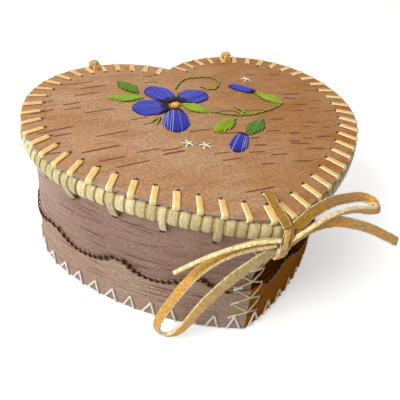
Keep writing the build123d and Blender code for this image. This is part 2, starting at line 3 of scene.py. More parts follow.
import bmesh
import bpy
from bpy.props import FloatProperty, FloatVectorProperty, IntProperty, PointerProperty
from mathutils import Matrix, Vector, noise
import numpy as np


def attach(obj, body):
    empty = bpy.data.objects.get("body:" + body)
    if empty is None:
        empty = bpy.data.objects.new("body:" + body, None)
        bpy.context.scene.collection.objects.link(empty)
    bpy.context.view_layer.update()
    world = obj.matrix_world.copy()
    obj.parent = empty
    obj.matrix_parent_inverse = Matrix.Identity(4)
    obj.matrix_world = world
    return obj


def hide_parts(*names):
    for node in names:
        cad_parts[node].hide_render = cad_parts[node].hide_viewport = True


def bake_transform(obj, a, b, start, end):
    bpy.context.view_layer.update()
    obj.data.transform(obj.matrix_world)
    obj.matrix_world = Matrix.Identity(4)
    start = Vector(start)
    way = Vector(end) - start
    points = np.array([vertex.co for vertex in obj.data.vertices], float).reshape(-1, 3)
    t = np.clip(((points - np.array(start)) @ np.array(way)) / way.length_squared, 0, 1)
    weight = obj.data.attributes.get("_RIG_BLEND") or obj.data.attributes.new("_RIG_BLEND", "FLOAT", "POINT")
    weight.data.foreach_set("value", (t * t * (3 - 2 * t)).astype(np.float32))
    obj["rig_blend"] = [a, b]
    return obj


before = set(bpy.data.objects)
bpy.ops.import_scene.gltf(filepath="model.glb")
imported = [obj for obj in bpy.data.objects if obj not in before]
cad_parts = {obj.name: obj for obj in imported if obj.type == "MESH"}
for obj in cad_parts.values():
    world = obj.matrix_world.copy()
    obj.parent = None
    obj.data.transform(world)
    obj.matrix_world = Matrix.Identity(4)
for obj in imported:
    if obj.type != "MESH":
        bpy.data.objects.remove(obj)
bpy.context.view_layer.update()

bl_info = {
    "name": "Bark basket",
    "version": (1, 0, 0),
    "blender": (4, 5, 0),
    "location": "3D View > Sidebar > Basket",
    "description": "Dresses a heart-shaped bark basket in bark, root, quill and leather",
    "category": "Object",
}

# Metres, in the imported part's frame: the heart's tip points to -Y, +Z is up
MM = 0.001
UP = Vector((0, 0, 1))
OTHER_SIDE = Vector((-1, 1, 1))

# The basket's shape, as in the part: lobe, flank and tip arcs of each half. A shape holds the heart's
# reach to the tip, the radius of its flank and the angle at which the flank ends.
HALF_WIDTH = 90 * MM
LOBE_RADIUS = 53.1 * MM
LOBE_TURN = 17.8
LID_SHAPE = (106.7 * MM, 75.8 * MM, 41.7)
WAIST_SHAPE = (95.4 * MM, 61.0 * MM, 34.0)
BASE_SHAPE = (95.9 * MM, 54.0 * MM, 28.5)
LID_FLANK = LID_SHAPE[1]
LOBE_X = HALF_WIDTH - LID_FLANK + (LID_FLANK - LOBE_RADIUS) * cos(radians(LOBE_TURN))
RIM_TOP = 82.6 * MM
RIM_DEPTH = 5.4 * MM
RIM_HEIGHT = 8.8 * MM
RIM_INSET = 1.2 * MM
LID_UNDER = 83.4 * MM
LID_TOP = 85.0 * MM
KNOT = Vector((-3.0, -111.65, 80.05)) * MM

# The walls' foot as inset and shape, and the walls from foot to rim as height, inset and shape
FOOT = (0.3 * MM, BASE_SHAPE)
WALL_LEVELS = [
    (0.0, *FOOT),
    (38.0 * MM, 2.0 * MM, WAIST_SHAPE),
    (RIM_TOP - RIM_HEIGHT, 4.0 * MM, LID_SHAPE),
    (RIM_TOP, 4.0 * MM, LID_SHAPE),
]

# The lower bands and their scalloped edge
BAND_TOP = 35.2 * MM
BAND_THICKNESS = 1.0 * MM
SCALLOP_STEP = 44.5 * MM
SCALLOP_WIDTH = 38.0 * MM
SCALLOP_DEPTH = 6.6 * MM
FIRST_TROUGH = 7.0 * MM

# Steps from one stitch to the next
TURN_STEP = 4.6 * MM
LID_STITCH_STEP = 9.6 * MM
FOOT_STITCH_STEP = 11.0 * MM
WAVY_STITCH_STEP = 3.4 * MM

# The corner seams: how far their holes are from tip and cleft, and the heights of the holes
SEAM_REACH = 9.0 * MM
SEAM_START = 9.5 * MM
SEAM_STEP = 10.4 * MM

# The place of the tip on a half outline, a hair short of it, as arc number plus share of the arc
NEAR_TIP = 2.999

# How far the hinges are from the middle
HINGE_X = 44 * MM

# A quill's back over a unit length
QUILL_RISE = [(-0.5, -0.3 * MM), (-0.47, 0.1 * MM), (-0.38, 0.42 * MM), (-0.2, 0.56 * MM), (0, 0.6 * MM)]
QUILL_ARCH = QUILL_RISE + [(-x, height) for x, height in QUILL_RISE[-2::-1]]


def paint(red, green, blue):
    """A colour read as screen values from 0 to 255, turned to the linear values that a shader takes."""
    parts = [value / 255 for value in (red, green, blue)]
    linear = [part / 12.92 if part <= 0.04045 else ((part + 0.055) / 1.055) ** 2.4 for part in parts]
    return (*linear, 1.0)


def length_value(name, description, millimetres):
    return FloatProperty(name=name, description=description, default=millimetres * MM, unit="LENGTH",
                         precision=5)


def colour_value(name, description, *screen):
    return FloatVectorProperty(name=name, description=description, default=paint(*screen), size=4,
                               subtype="COLOR", min=0, max=1)


class BasketSizes(bpy.types.PropertyGroup):
    """Sizes of the basket's stitching, quillwork and leather."""
    turn_width: length_value("Turn width", "Width of one turn of root round the rim", 4.15)
    turn_thickness: length_value("Turn thickness", "Thickness of the root round the rim", 0.75)
    turn_tilt: FloatProperty(name="Turn tilt", description="How far a turn may lean from square",
                             default=radians(3.0), unit="ROTATION")
    edge_stitch_width: length_value("Lid stitch width", "Width of the root strips over the lid's edge", 3.2)
    edge_stitch_lean: FloatProperty(name="Lid stitch lean", default=radians(14.0), unit="ROTATION",
                                    description="How far the lid's stitches slant to the tip")
    thread_width: length_value("Thread width", "Width of the sinew of the foot stitches and seams", 1.0)
    dark_stitch_width: length_value("Dark stitch width", "Width of the dark root stitches", 1.9)
    quill_width: length_value("Quill width", "Width of a flattened quill", 1.35)
    quill_height: length_value("Quill height", "How high a petal's quills stand off the bark", 0.55)
    thong_width: length_value("Thong width", "Width of the leather thong", 4.4)
    thong_thickness: length_value("Thong thickness", "Thickness of the leather thong", 1.8)
    seed: IntProperty(name="Seed", description="Seed of the small hand-made differences", default=7, min=0)


class BasketColours(bpy.types.PropertyGroup):
    """Colours of the basket's finishes."""
    lid_bark: colour_value("Lid bark", "Tan bark of the lid", 174, 130, 92)
    warm_bark: colour_value("Warm lid bark", "Warmer side of the lid", 160, 108, 58)
    wall_bark: colour_value("Wall bark", "Purple-brown bark of the left wall", 178, 152, 138)
    band_bark: colour_value("Band bark", "Warmer bark of the left lower band", 160, 132, 112)
    # The right wall's colour is amber bark darkened with painted shade, for the side turned from the key lamp
    shaded_amber_bark: colour_value("Amber bark", "Amber bark of the right wall", 72, 35, 0)
    bark_pore: colour_value("Pores", "Dark pores of the bark", 98, 52, 38)
    golden_root: colour_value("Golden root", "Root strips of the lid's edge", 242, 202, 122)
    straw_root: colour_value("Straw root", "Pale root of the rim", 232, 223, 176)
    dark_root: colour_value("Dark root", "Dyed root of the wavy seam", 76, 46, 24)
    sinew: colour_value("Sinew", "Pale sinew thread", 228, 226, 218)
    violet: colour_value("Violet quill", "Blue-violet quills", 62, 66, 190)
    green: colour_value("Green quill", "Bright green quills", 150, 166, 10)
    deep_green: colour_value("Deep green quill", "Darker green quills", 98, 140, 18)
    yellow: colour_value("Yellow quill", "Quills of the flower's centre", 252, 184, 26)
    leather: colour_value("Leather", "Golden-tan suede", 214, 156, 62)
    leather_edge: colour_value("Leather edge", "Pale cut edge of the suede", 232, 212, 156)


def settings():
    return bpy.context.scene.basket_sizes, bpy.context.scene.basket_colours


# Outline and wall, by the part's own formulas

def polar(radius, angle):
    return Vector((radius * cos(radians(angle)), radius * sin(radians(angle)), 0))


def heart_arcs(inset, shape):
    """The three arcs of the right half, cleft to tip: centre, radius, first angle and turn."""
    reach, flank, turn = shape
    lobe = Vector((LOBE_X, 0, 0))
    flank_middle = lobe - polar(flank - LOBE_RADIUS, LOBE_TURN)
    shoulder = flank_middle + polar(flank, -turn)
    chord = Vector((0, -reach, 0)) - shoulder
    tip_radius = -chord.length_squared / (2 * chord.dot(polar(1, -turn)))
    tip_middle = shoulder - polar(tip_radius, -turn)
    cleft = degrees(acos(-lobe.x / (LOBE_RADIUS - inset)))
    tip = -degrees(acos(-tip_middle.x / (tip_radius - inset)))
    return [
        (lobe, LOBE_RADIUS - inset, cleft, LOBE_TURN - cleft),
        (flank_middle, flank - inset, LOBE_TURN, -turn - LOBE_TURN),
        (tip_middle, tip_radius - inset, -turn, tip + turn),
    ]


def half_length(inset, shape):
    return sum(radius * radians(abs(turn)) for centre, radius, first, turn in heart_arcs(inset, shape))


def place_at(inset, shape, distance):
    """Arc number plus share of the arc, at a distance from the cleft along a half outline."""
    for number, (centre, radius, first, turn) in enumerate(heart_arcs(inset, shape)):
        length = radius * radians(abs(turn))
        if distance <= length or number == 2:
            return number + distance / length
        distance -= length


def point_and_normal(inset, shape, place):
    number = max(0, min(int(place), 2))
    centre, radius, first, turn = heart_arcs(inset, shape)[number]
    angle = first + turn * (place - number)
    return centre + polar(radius, angle), polar(1, angle)


def axes(origin, x, y, z):
    matrix = Matrix.Identity(4)
    for column, vector in enumerate((x, y, z, origin)):
        matrix.col[column][:3] = vector
    return matrix


def rim_frame(inset, distance, height, lean=0.0):
    """X outward, leaned to the tip, Y up and Z along the rim."""
    place = place_at(inset, LID_SHAPE, distance)
    point, normal = point_and_normal(inset, LID_SHAPE, place)
    outward = normal * cos(lean) + normal.cross(UP) * sin(lean)
    return axes(point + UP * height, outward, UP, outward.cross(UP))


def wall_point(place, height, stand_off=0.0):
    """A point on the right wall's outer face, stood off outward, with its normal and the way up the wall."""
    lower = max(number for number in range(3) if number == 0 or height >= WALL_LEVELS[number][0])
    low_height, low_inset, low_shape = WALL_LEVELS[lower]
    top_height, top_inset, top_shape = WALL_LEVELS[lower + 1]
    share = (height - low_height) / (top_height - low_height)
    low_point, low_normal = point_and_normal(low_inset, low_shape, place)
    top_point, top_normal = point_and_normal(top_inset, top_shape, place)
    low_point, top_point = low_point + UP * low_height, top_point + UP * top_height
    normal = low_normal.lerp(top_normal, share).normalized()
    return low_point.lerp(top_point, share) + normal * stand_off, normal, (top_point - low_point).normalized()


def band_edge(distance):
    """Height of the band's scalloped edge at a distance from the tip along the foot."""
    radius = ((SCALLOP_WIDTH / 2) ** 2 + SCALLOP_DEPTH ** 2) / (2 * SCALLOP_DEPTH)
    from_trough = (distance - FIRST_TROUGH) % SCALLOP_STEP
    from_trough = min(from_trough, SCALLOP_STEP - from_trough)
    if from_trough > SCALLOP_WIDTH / 2:
        return BAND_TOP
    return BAND_TOP + radius - SCALLOP_DEPTH - sqrt(radius ** 2 - from_trough ** 2)


def mirrored(matrix):
    """The same frame on the left half, with its Z turned so that it stays right-handed."""
    x, y, z, origin = (Vector(matrix.col[column][:3]) for column in range(4))
    return axes(origin * OTHER_SIDE, x * OTHER_SIDE, y * OTHER_SIDE, -(z * OTHER_SIDE))


def both_halves(frames):
    return frames + [mirrored(matrix) for matrix in frames]


def in_millimetres(points):
    return [Vector(point) * MM for point in points]


def line_length(points):
    return sum((after - before).length for before, after in zip(points, points[1:]))


# Node helpers

def add(tree, kind, values=None, **options):
    """Adds a node with its options, and sets or links its inputs."""
    node = tree.nodes.new(kind)
    node.location = (190 * (len(tree.nodes) % 9), -210 * (len(tree.nodes) // 9))
    for name, value in options.items():
        setattr(node, name, value)
    for key, value in (values or {}).items():
        if isinstance(value, bpy.types.NodeSocket):
            tree.links.new(value, node.inputs[key])
        else:
            node.inputs[key].default_value = value
    return node


def maths(tree, operation, first, second=0.0, third=0.0, clamp=False):
    values = {0: first, 1: second, 2: third}
    return add(tree, "ShaderNodeMath", values, operation=operation, use_clamp=clamp).outputs[0]


def blended(tree, share, first, second, way="MIX"):
    values = {0: share, 6: first, 7: second}
    return add(tree, "ShaderNodeMix", values, data_type="RGBA", blend_type=way).outputs[2]


def tinted(tree, base, mask, amount, colour):
    """The base with a colour laid over it, as far as the mask and the amount let it."""
    return blended(tree, maths(tree, "MULTIPLY", mask, amount), base, colour)


def retoned(tree, colour, value=1.0, saturation=1.0, hue=0.5):
    """A colour made lighter or darker, stronger or duller, or turned in hue."""
    values = {"Hue": hue, "Saturation": saturation, "Value": value, "Color": colour}
    return add(tree, "ShaderNodeHueSaturation", values).outputs[0]


def stepped(tree, value, low, high, first=0.0, second=1.0):
    """A value carried smoothly from one range to another."""
    values = {0: value, 1: low, 2: high, 3: first, 4: second}
    return add(tree, "ShaderNodeMapRange", values, interpolation_type="SMOOTHSTEP").outputs[0]


def stretched(tree, vector, scale):
    return add(tree, "ShaderNodeVectorMath", {0: vector, 1: scale}, operation="MULTIPLY").outputs[0]


def gathered(tree, x=0.0, y=0.0, z=0.0):
    """A vector made of its three parts."""
    return add(tree, "ShaderNodeCombineXYZ", {0: x, 1: y, 2: z}).outputs[0]


def part_of(tree, vector, axis):
    return add(tree, "ShaderNodeSeparateXYZ", {0: vector}).outputs[axis]


def speckle(tree, vector, scale, detail=2.0, roughness=0.5):
    values = {"Vector": vector, "Scale": scale, "Detail": detail, "Roughness": roughness}
    return add(tree, "ShaderNodeTexNoise", values).outputs[0]


def attribute(tree, name):
    return add(tree, "ShaderNodeAttribute", attribute_name=name).outputs["Fac"]


def object_place(tree):
    return add(tree, "ShaderNodeTexCoord").outputs["Object"]


def seen_rays(tree):
    """1 for the rays that show a thing itself: the camera's, mirrored ones and ones through glass."""
    rays = add(tree, "ShaderNodeLightPath").outputs
    return maths(tree, "MAXIMUM", rays["Is Camera Ray"],
                 maths(tree, "MAXIMUM", rays["Is Glossy Ray"], rays["Is Transmission Ray"]))


def new_group(name, inputs, outputs, kind="ShaderNodeTree"):
    """A node group with named inputs and outputs, and the sockets inside it."""
    tree = bpy.data.node_groups.new(name, kind)
    for label, socket, default in inputs:
        made = tree.interface.new_socket(label, in_out="INPUT", socket_type="NodeSocket" + socket)
        if default is not None:
            made.default_value = default
    for label, socket in outputs:
        tree.interface.new_socket(label, in_out="OUTPUT", socket_type="NodeSocket" + socket)
    entry = add(tree, "NodeGroupInput")
    return tree, entry.outputs, add(tree, "NodeGroupOutput")


def use_group(tree, name, values):
    """Adds the node group of a finish, which is built the first time."""
    group = bpy.data.node_groups.get(name) or FINISH_GROUPS[name]()
    return add(tree, "ShaderNodeGroup", values, node_tree=group).outputs


def new_material(name, roughness, specular, sheen=0.0):
    """A material with a plain Principled shader, and its tree."""
    material = bpy.data.materials.new(name)
    material.use_nodes = True
    shader = material.node_tree.nodes["Principled BSDF"]
    shader.inputs["Roughness"].default_value = roughness
    shader.inputs["Specular IOR Level"].default_value = specular
    shader.inputs["Sheen Weight"].default_value = sheen
    return material, material.node_tree, shader


def finish_material(tree, shader, colour, height, depth, strength=1.0, roughness=None):
    """Gives the shader its colour, its relief and, where the finish has one, its uneven roughness."""
    tree.links.new(colour, shader.inputs["Base Color"])
    bump = add(tree, "ShaderNodeBump", {"Height": height, "Distance": depth, "Strength": strength})
    tree.links.new(bump.outputs[0], shader.inputs["Normal"])
    if roughness is not None:
        tree.links.new(roughness, shader.inputs["Roughness"])


# Mesh and curve helpers

def link_object(name, data):
    made = bpy.data.objects.new(name, data)
    bpy.context.scene.collection.objects.link(made)
    return made


def plain_mesh(piece):
    """The shape of a curve, or of an object with its modifiers, as a mesh of its own."""
    graph = bpy.context.evaluated_depsgraph_get()
    return bpy.data.meshes.new_from_object(piece.evaluated_get(graph), preserve_all_data_layers=True,
                                           depsgraph=graph)


def new_curve(name):
    curve = bpy.data.curves.new(name, "CURVE")
    curve.dimensions = "3D"
    return curve


def smooth_line(curve, route, cyclic=False):
    """Adds the smooth line that has these control points to a curve."""
    spline = curve.splines.new("NURBS")
    spline.points.add(len(route) - 1)
    for point, place in zip(spline.points, route):
        point.co = (*place, 1)
    spline.use_cyclic_u = cyclic
    spline.order_u = 3
    spline.use_endpoint_u = not cyclic


def curve_points(route, cyclic=False, resolution=12):
    """Points along the smooth line that has these control points."""
    curve = new_curve("route")
    curve.resolution_u = resolution
    smooth_line(curve, route, cyclic)
    carrier = link_object("route", curve)
    mesh = plain_mesh(carrier)
    points = [vertex.co.copy() for vertex in mesh.vertices]
    bpy.data.objects.remove(carrier)
    bpy.data.meshes.remove(mesh)
    return points


def line_curve(name, points, cyclic):
    """A line of straight runs, for a node tree to sweep along."""
    curve = new_curve(name)
    spline = curve.splines.new("POLY")
    spline.points.add(len(points) - 1)
    for point, place in zip(spline.points, points):
        point.co = (*place, *[0] * (3 - len(place)), 1)
    spline.use_cyclic_u = cyclic
    return link_object(name, curve)


def rounded(corners, radius):
    """A line through corners in one plane, with each inner corner rounded."""
    steps = 4
    points = [Vector(corners[0])]
    for before, corner, after in zip(corners, corners[1:], corners[2:]):
        before, corner, after = Vector(before), Vector(corner), Vector(after)
        reach = min(radius, (before - corner).length / 2, (after - corner).length / 2)
        start = corner + (before - corner).normalized() * reach
        end = corner + (after - corner).normalized() * reach
        for step in range(steps + 1):
            share = step / steps
            points.append(start.lerp(corner, share).lerp(corner.lerp(end, share), share))
    points.append(Vector(corners[-1]))
    return [tuple(point) for point in points]


# Sections of a split root or quill, of a thread, and of a flat leather thong
FLAT_SECTION = [(-0.5, -0.1), (-0.44, 0.22), (-0.22, 0.42), (0, 0.5), (0.22, 0.42), (0.44, 0.22), (0.5, -0.1),
                (0.4, -0.5), (-0.4, -0.5)]
ROUND_SECTION = [(0.5 * cos(tau * step / 8), 0.5 * sin(tau * step / 8)) for step in range(8)]
THONG_HALF = [(-1, -0.55), (-1, 0), (-1, 0.55), (-0.93, 0.9), (-0.62, 1), (0, 1), (0.62, 1), (0.93, 0.9)]
THONG_SECTION = THONG_HALF + [(-x, -y) for x, y in THONG_HALF]


def build_strip_tree():
    """Geometry nodes: a strip swept along a line, and laid at each place with small differences."""
    tree, given, out = new_group(
        "Laid strips",
        [("Places", "Geometry", None), ("Line", "Object", None), ("Section", "Object", None),
         ("Width", "Float", 3 * MM), ("Thickness", "Float", 0.6 * MM), ("Tilt", "Float", 0.0),
         ("Spread", "Float", 0.0), ("Seed", "Int", 0), ("Material", "Material", None)],
        [("Strips", "Geometry")], "GeometryNodeTree")

    def shape_of(label):
        return add(tree, "GeometryNodeObjectInfo", {"Object": given[label]}).outputs["Geometry"]

    def storing(shape, name, value, domain="POINT"):
        """The shape with a value kept on it under a name."""
        values = {"Geometry": shape, "Name": name, "Value": value}
        return add(tree, "GeometryNodeStoreNamedAttribute", values, domain=domain).outputs[0]

    def kept(name, kind):
        return add(tree, "GeometryNodeInputNamedAttribute", {"Name": name}, data_type=kind).outputs[0]

    def chance(low, high, offset):
        """A chance value of each strip's own."""
        seed = maths(tree, "ADD", given["Seed"], offset)
        return add(tree, "FunctionNodeRandomValue", {2: low, 3: high, 8: seed}, data_type="FLOAT").outputs[1]

    upright = add(tree, "GeometryNodeSetCurveNormal", {0: shape_of("Line")}, mode="Z_UP").outputs[0]
    route = storing(upright, "along", add(tree, "GeometryNodeSplineParameter").outputs["Factor"])
    spot = add(tree, "GeometryNodeInputPosition").outputs[0]
    section = storing(shape_of("Section"), "across", part_of(tree, spot, "X"))
    size = gathered(tree, given["Width"], given["Thickness"], 1.0)
    profile = add(tree, "GeometryNodeTransform",
                  {"Geometry": section, "Scale": size, "Rotation": (0, 0, pi / 2)}).outputs[0]
    strip = add(tree, "GeometryNodeCurveToMesh",
                {"Curve": route, "Profile Curve": profile, "Fill Caps": True}).outputs[0]
    smooth = add(tree, "GeometryNodeSetShadeSmooth", {0: strip}).outputs[0]

    under = maths(tree, "MULTIPLY", given["Tilt"], -1.0)
    angles = gathered(tree, chance(under, given["Tilt"], 1.0), chance(under, given["Tilt"], 2.0))
    lean = add(tree, "FunctionNodeEulerToRotation", {0: angles}).outputs[0]
    turn = add(tree, "FunctionNodeRotateRotation", {0: kept("turn", "QUATERNION"), 1: lean},
               rotation_space="LOCAL").outputs[0]
    small = maths(tree, "SUBTRACT", 1.0, given["Spread"])
    large = maths(tree, "ADD", 1.0, given["Spread"])
    scale = stretched(tree, kept("size", "FLOAT_VECTOR"), gathered(tree, 1.0, 1.0, chance(small, large, 3.0)))
    laid = add(tree, "GeometryNodeInstanceOnPoints",
               {"Points": given["Places"], "Instance": smooth, "Rotation": turn, "Scale": scale}).outputs[0]
    toned = storing(laid, "tone", chance(0.0, 1.0, 4.0), "INSTANCE")
    real = add(tree, "GeometryNodeRealizeInstances", {0: toned}).outputs[0]
    dressed = add(tree, "GeometryNodeSetMaterial", {"Geometry": real, "Material": given["Material"]})
    tree.links.new(dressed.outputs[0], out.inputs[0])
    return tree


def places_mesh(name, frames, sizes=None):
    """One point for each place, holding its turn and its size."""
    mesh = bpy.data.meshes.new(name)
    mesh.from_pydata([matrix.translation for matrix in frames], [], [])
    mesh.attributes.new("turn", "QUATERNION", "POINT")
    mesh.attributes.new("size", "FLOAT_VECTOR", "POINT")
    for number, matrix in enumerate(frames):
        mesh.attributes["turn"].data[number].value = matrix.to_quaternion()
        mesh.attributes["size"].data[number].vector = sizes[number] if sizes else (1, 1, 1)
    return mesh


def lay_strips(name, body, frames, line, material, width, thickness, sizes=None, section=FLAT_SECTION,
               cyclic=False, tilt=0.0, spread=0.0, replaces=()):
    """Lays one kind of strip at many places, as a plain mesh that rides on a body.

    The line is drawn in each frame's X and Y. Across the strip is Z where the line is flat.
    """
    host = link_object(name, places_mesh(name, frames, sizes))
    route = line_curve(name + "_line", line, cyclic)
    profile = line_curve(name + "_section", section, True)
    inputs = {"Line": route, "Section": profile, "Width": width, "Thickness": thickness, "Tilt": tilt,
              "Spread": spread, "Seed": settings()[0].seed + len(name), "Material": material}
    modifier = host.modifiers.new("Strips", "NODES")
    modifier.node_group = bpy.data.node_groups.get("Laid strips") or build_strip_tree()
    for item in modifier.node_group.interface.items_tree:
        if item.item_type == "SOCKET" and item.name in inputs:
            modifier[item.identifier] = inputs[item.name]
    mesh = plain_mesh(host)
    host.modifiers.remove(modifier)
    host.data = mesh
    for helper in (route, profile):
        bpy.data.objects.remove(helper)
    ride(host, body, replaces)


def ride(piece, body, replaces=()):
    """Puts a piece on a body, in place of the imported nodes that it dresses."""
    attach(piece, body)
    if replaces:
        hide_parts(*replaces)


def join(name, pieces):
    """Joins pieces, all at the origin, into one."""
    with bpy.context.temp_override(active_object=pieces[0], selected_editable_objects=pieces):
        bpy.ops.object.join()
    pieces[0].name = pieces[0].data.name = name
    return pieces[0]


def twisted(route, twists):
    """The way a strap's flat side looks at each point: towards the front and up, then turned by an angle."""
    towards = Vector((-0.33, -0.70, 0.63))
    faces = []
    for number, twist in enumerate(twists):
        ahead = Vector(route[min(number + 1, len(route) - 1)]) - Vector(route[max(number - 1, 0)])
        ahead.normalize()
        base = (towards - ahead * towards.dot(ahead)).normalized()
        faces.append(base * cos(radians(twist)) + ahead.cross(base) * sin(radians(twist)))
    return faces


def strap(name, route, faces, width, thickness, material, cyclic=False, shades=(0.0,)):
    """A flat leather strap along a smooth line, and the points of that line.

    Faces are the way its flat side looks at each control point. Shades run along it, from -1, grey olive,
    to 1, golden olive: partly painted shade on strands turned from the lamps, partly the leather's duller
    inner face.
    """
    nap, nap_scale = 0.22 * MM, 900
    path = curve_points(route, cyclic)
    count = len(path)
    mesh = bmesh.new()
    for layer in ("across", "shade"):
        mesh.verts.layers.float.new(layer)
    across, shade = (mesh.verts.layers.float[layer] for layer in ("across", "shade"))
    rings = []
    for number, point in enumerate(path):
        before = path[number - 1] if number or cyclic else point
        after = path[(number + 1) % count] if number < count - 1 or cyclic else point
        ahead = (after - before).normalized()
        place = number / count * len(faces) if cyclic else number / (count - 1) * (len(faces) - 1)
        first = int(place) % len(faces)
        second = (first + 1) % len(faces) if cyclic else min(first + 1, len(faces) - 1)
        face = Vector(faces[first]).normalized().lerp(Vector(faces[second]).normalized(), place - int(place))
        face = (face - ahead * face.dot(ahead)).normalized()
        side = ahead.cross(face)
        step = number / max(count - 1, 1) * (len(shades) - 1)
        low = int(step)
        olive = shades[low] + (shades[min(low + 1, len(shades) - 1)] - shades[low]) * (step - low)
        ring = []
        for x, y in THONG_SECTION:
            spot = point + side * (x * width / 2) + face * (y * thickness / 2)
            spot += (side * x + face * y * 0.6) * nap * noise.noise(spot * nap_scale)
            vertex = mesh.verts.new(spot)
            vertex[across] = x
            vertex[shade] = olive
            ring.append(vertex)
        rings.append(ring)
    size = len(THONG_SECTION)
    for number in range(count if cyclic else count - 1):
        near, far = rings[number], rings[(number + 1) % count]
        for step in range(size):
            mesh.faces.new((near[step], far[step], far[(step + 1) % size], near[(step + 1) % size]))
    if not cyclic:
        mesh.faces.new(rings[0])
        mesh.faces.new(reversed(rings[-1]))
    bmesh.ops.recalc_face_normals(mesh, faces=mesh.faces)
    data = bpy.data.meshes.new(name)
    mesh.to_mesh(data)
    mesh.free()
    data.polygons.foreach_set("use_smooth", [True] * len(data.polygons))
    data.materials.append(material)
    return link_object(name, data), path


# Finishes

def build_bark_group():
    """Bark: soft mottling, thin streaks along the grain and fine speckle."""
    tree, given, out = new_group(
        "Bark grain",
        [("Vector", "Vector", None), ("Grain", "Vector", (60, 900, 60)), ("Bark", "Color", None),
         ("Pore", "Color", None), ("Streaks", "Float", 0.5), ("Mottling", "Float", 0.5)],
        [("Color", "Color"), ("Height", "Float"), ("Roughness", "Float")])
    place = given["Vector"]
    grain = stretched(tree, place, given["Grain"])
    cloud = speckle(tree, place, 45.0, 4.0, 0.6)
    patch = speckle(tree, stretched(tree, grain, (0.5, 0.12, 0.5)), 1.0, 3.0, 0.6)
    streak = stepped(tree, speckle(tree, grain, 1.0, 3.0, 0.55), 0.575, 0.66)
    hair = speckle(tree, stretched(tree, grain, (2.0, 2.2, 2.0)), 1.0, 2.0, 0.6)
    dust = speckle(tree, place, 750.0, 3.0, 0.75)
    darker_tint = retoned(tree, given["Bark"], 0.86, 1.12, 0.493)
    pale = retoned(tree, given["Bark"], 1.12, 0.86, 0.505)
    base = tinted(tree, given["Bark"], stepped(tree, cloud, 0.32, 0.68), given["Mottling"], pale)
    base = tinted(tree, base, stepped(tree, patch, 0.45, 0.75), given["Mottling"], darker_tint)
    base = tinted(tree, base, stepped(tree, hair, 0.52, 0.8), 0.16, given["Pore"])
    base = tinted(tree, base, streak, given["Streaks"], given["Pore"])
    light = stepped(tree, dust, 0.36, 0.64, 0.8, 1.17)
    tree.links.new(blended(tree, 1.0, base, light, "MULTIPLY"), out.inputs["Color"])
    level = maths(tree, "MULTIPLY_ADD", streak, -0.5, maths(tree, "MULTIPLY_ADD", dust, 0.35, hair))
    tree.links.new(level, out.inputs["Height"])
    tree.links.new(maths(tree, "MULTIPLY_ADD", cloud, 0.25, 0.5), out.inputs["Roughness"])
    return tree


def build_fibre_group():
    """Split root: fine lines along a strip, with a tone of its own, and painted shade along both its sides.
    """
    tree, given, out = new_group(
        "Root fibre",
        [("Pale", "Color", None), ("Deep", "Color", None), ("Lines", "Float", 9.0)],
        [("Color", "Color"), ("Height", "Float"), ("Roughness", "Float")])
    across, along, tone = (attribute(tree, name) for name in ("across", "along", "tone"))
    place = gathered(tree, maths(tree, "MULTIPLY", across, given["Lines"]),
                     maths(tree, "MULTIPLY", along, 3.0), maths(tree, "MULTIPLY", tone, 90.0))
    lines = speckle(tree, place, 2.2, 4.0, 0.7)
    slow = speckle(tree, stretched(tree, place, (0.12, 1.0, 1.0)), 1.0, 1.0)
    # Darker along both sides of each strip: painted shade where strips meet
    edge = stepped(tree, maths(tree, "ABSOLUTE", across), 0.36, 0.5)
    share = maths(tree, "MULTIPLY_ADD", tone, 0.5, maths(tree, "MULTIPLY", slow, 0.4))
    share = maths(tree, "ADD", share, stepped(tree, lines, 0.42, 0.62, -0.25, 0.7), clamp=True)
    base = blended(tree, share, given["Pale"], given["Deep"])
    dark = retoned(tree, base, 0.55, 1.25)
    tree.links.new(tinted(tree, base, edge, 0.55, dark), out.inputs["Color"])
    tree.links.new(lines, out.inputs["Height"])
    tree.links.new(maths(tree, "MULTIPLY_ADD", lines, 0.3, 0.3), out.inputs["Roughness"])
    return tree


def build_suede_group():
    """Suede: short nap, uneven dye and pale cut edges, with golden olive and grey olive tints that are partly
    painted shade and partly the leather's duller inner face.
    """
    tree, given, out = new_group(
        "Suede nap",
        [("Vector", "Vector", None), ("Face", "Color", None), ("Edge", "Color", None)],
        [("Color", "Color"), ("Height", "Float")])
    nap = speckle(tree, given["Vector"], 850.0, 3.0, 0.8)
    dye = speckle(tree, given["Vector"], 160.0, 3.0, 0.6)
    outward = maths(tree, "ABSOLUTE", attribute(tree, "across"))
    edge = stepped(tree, maths(tree, "MULTIPLY_ADD", nap, 0.25, outward), 0.9, 1.12)
    dull = retoned(tree, given["Face"], 0.78, 0.8, 0.512)
    base = blended(tree, stepped(tree, dye, 0.4, 0.72, 0.0, 0.8), given["Face"], dull)
    # Golden olive and grey olive by the strap's shade: painted shade on strands turned from the lamps, partly
    # the leather's duller inner face
    shade = attribute(tree, "shade")
    golden = maths(tree, "MAXIMUM", shade, 0.0)
    grey = maths(tree, "MAXIMUM", maths(tree, "MULTIPLY", shade, -1.0), 0.0)
    base = blended(tree, golden, base, paint(150, 108, 34))
    base = blended(tree, grey, base, paint(156, 140, 94))
    base = blended(tree, edge, base, given["Edge"])
    light = stepped(tree, nap, 0.36, 0.64, 0.66, 1.2)
    tree.links.new(blended(tree, 1.0, base, light, "MULTIPLY"), out.inputs["Color"])
    tree.links.new(nap, out.inputs["Height"])
    return tree


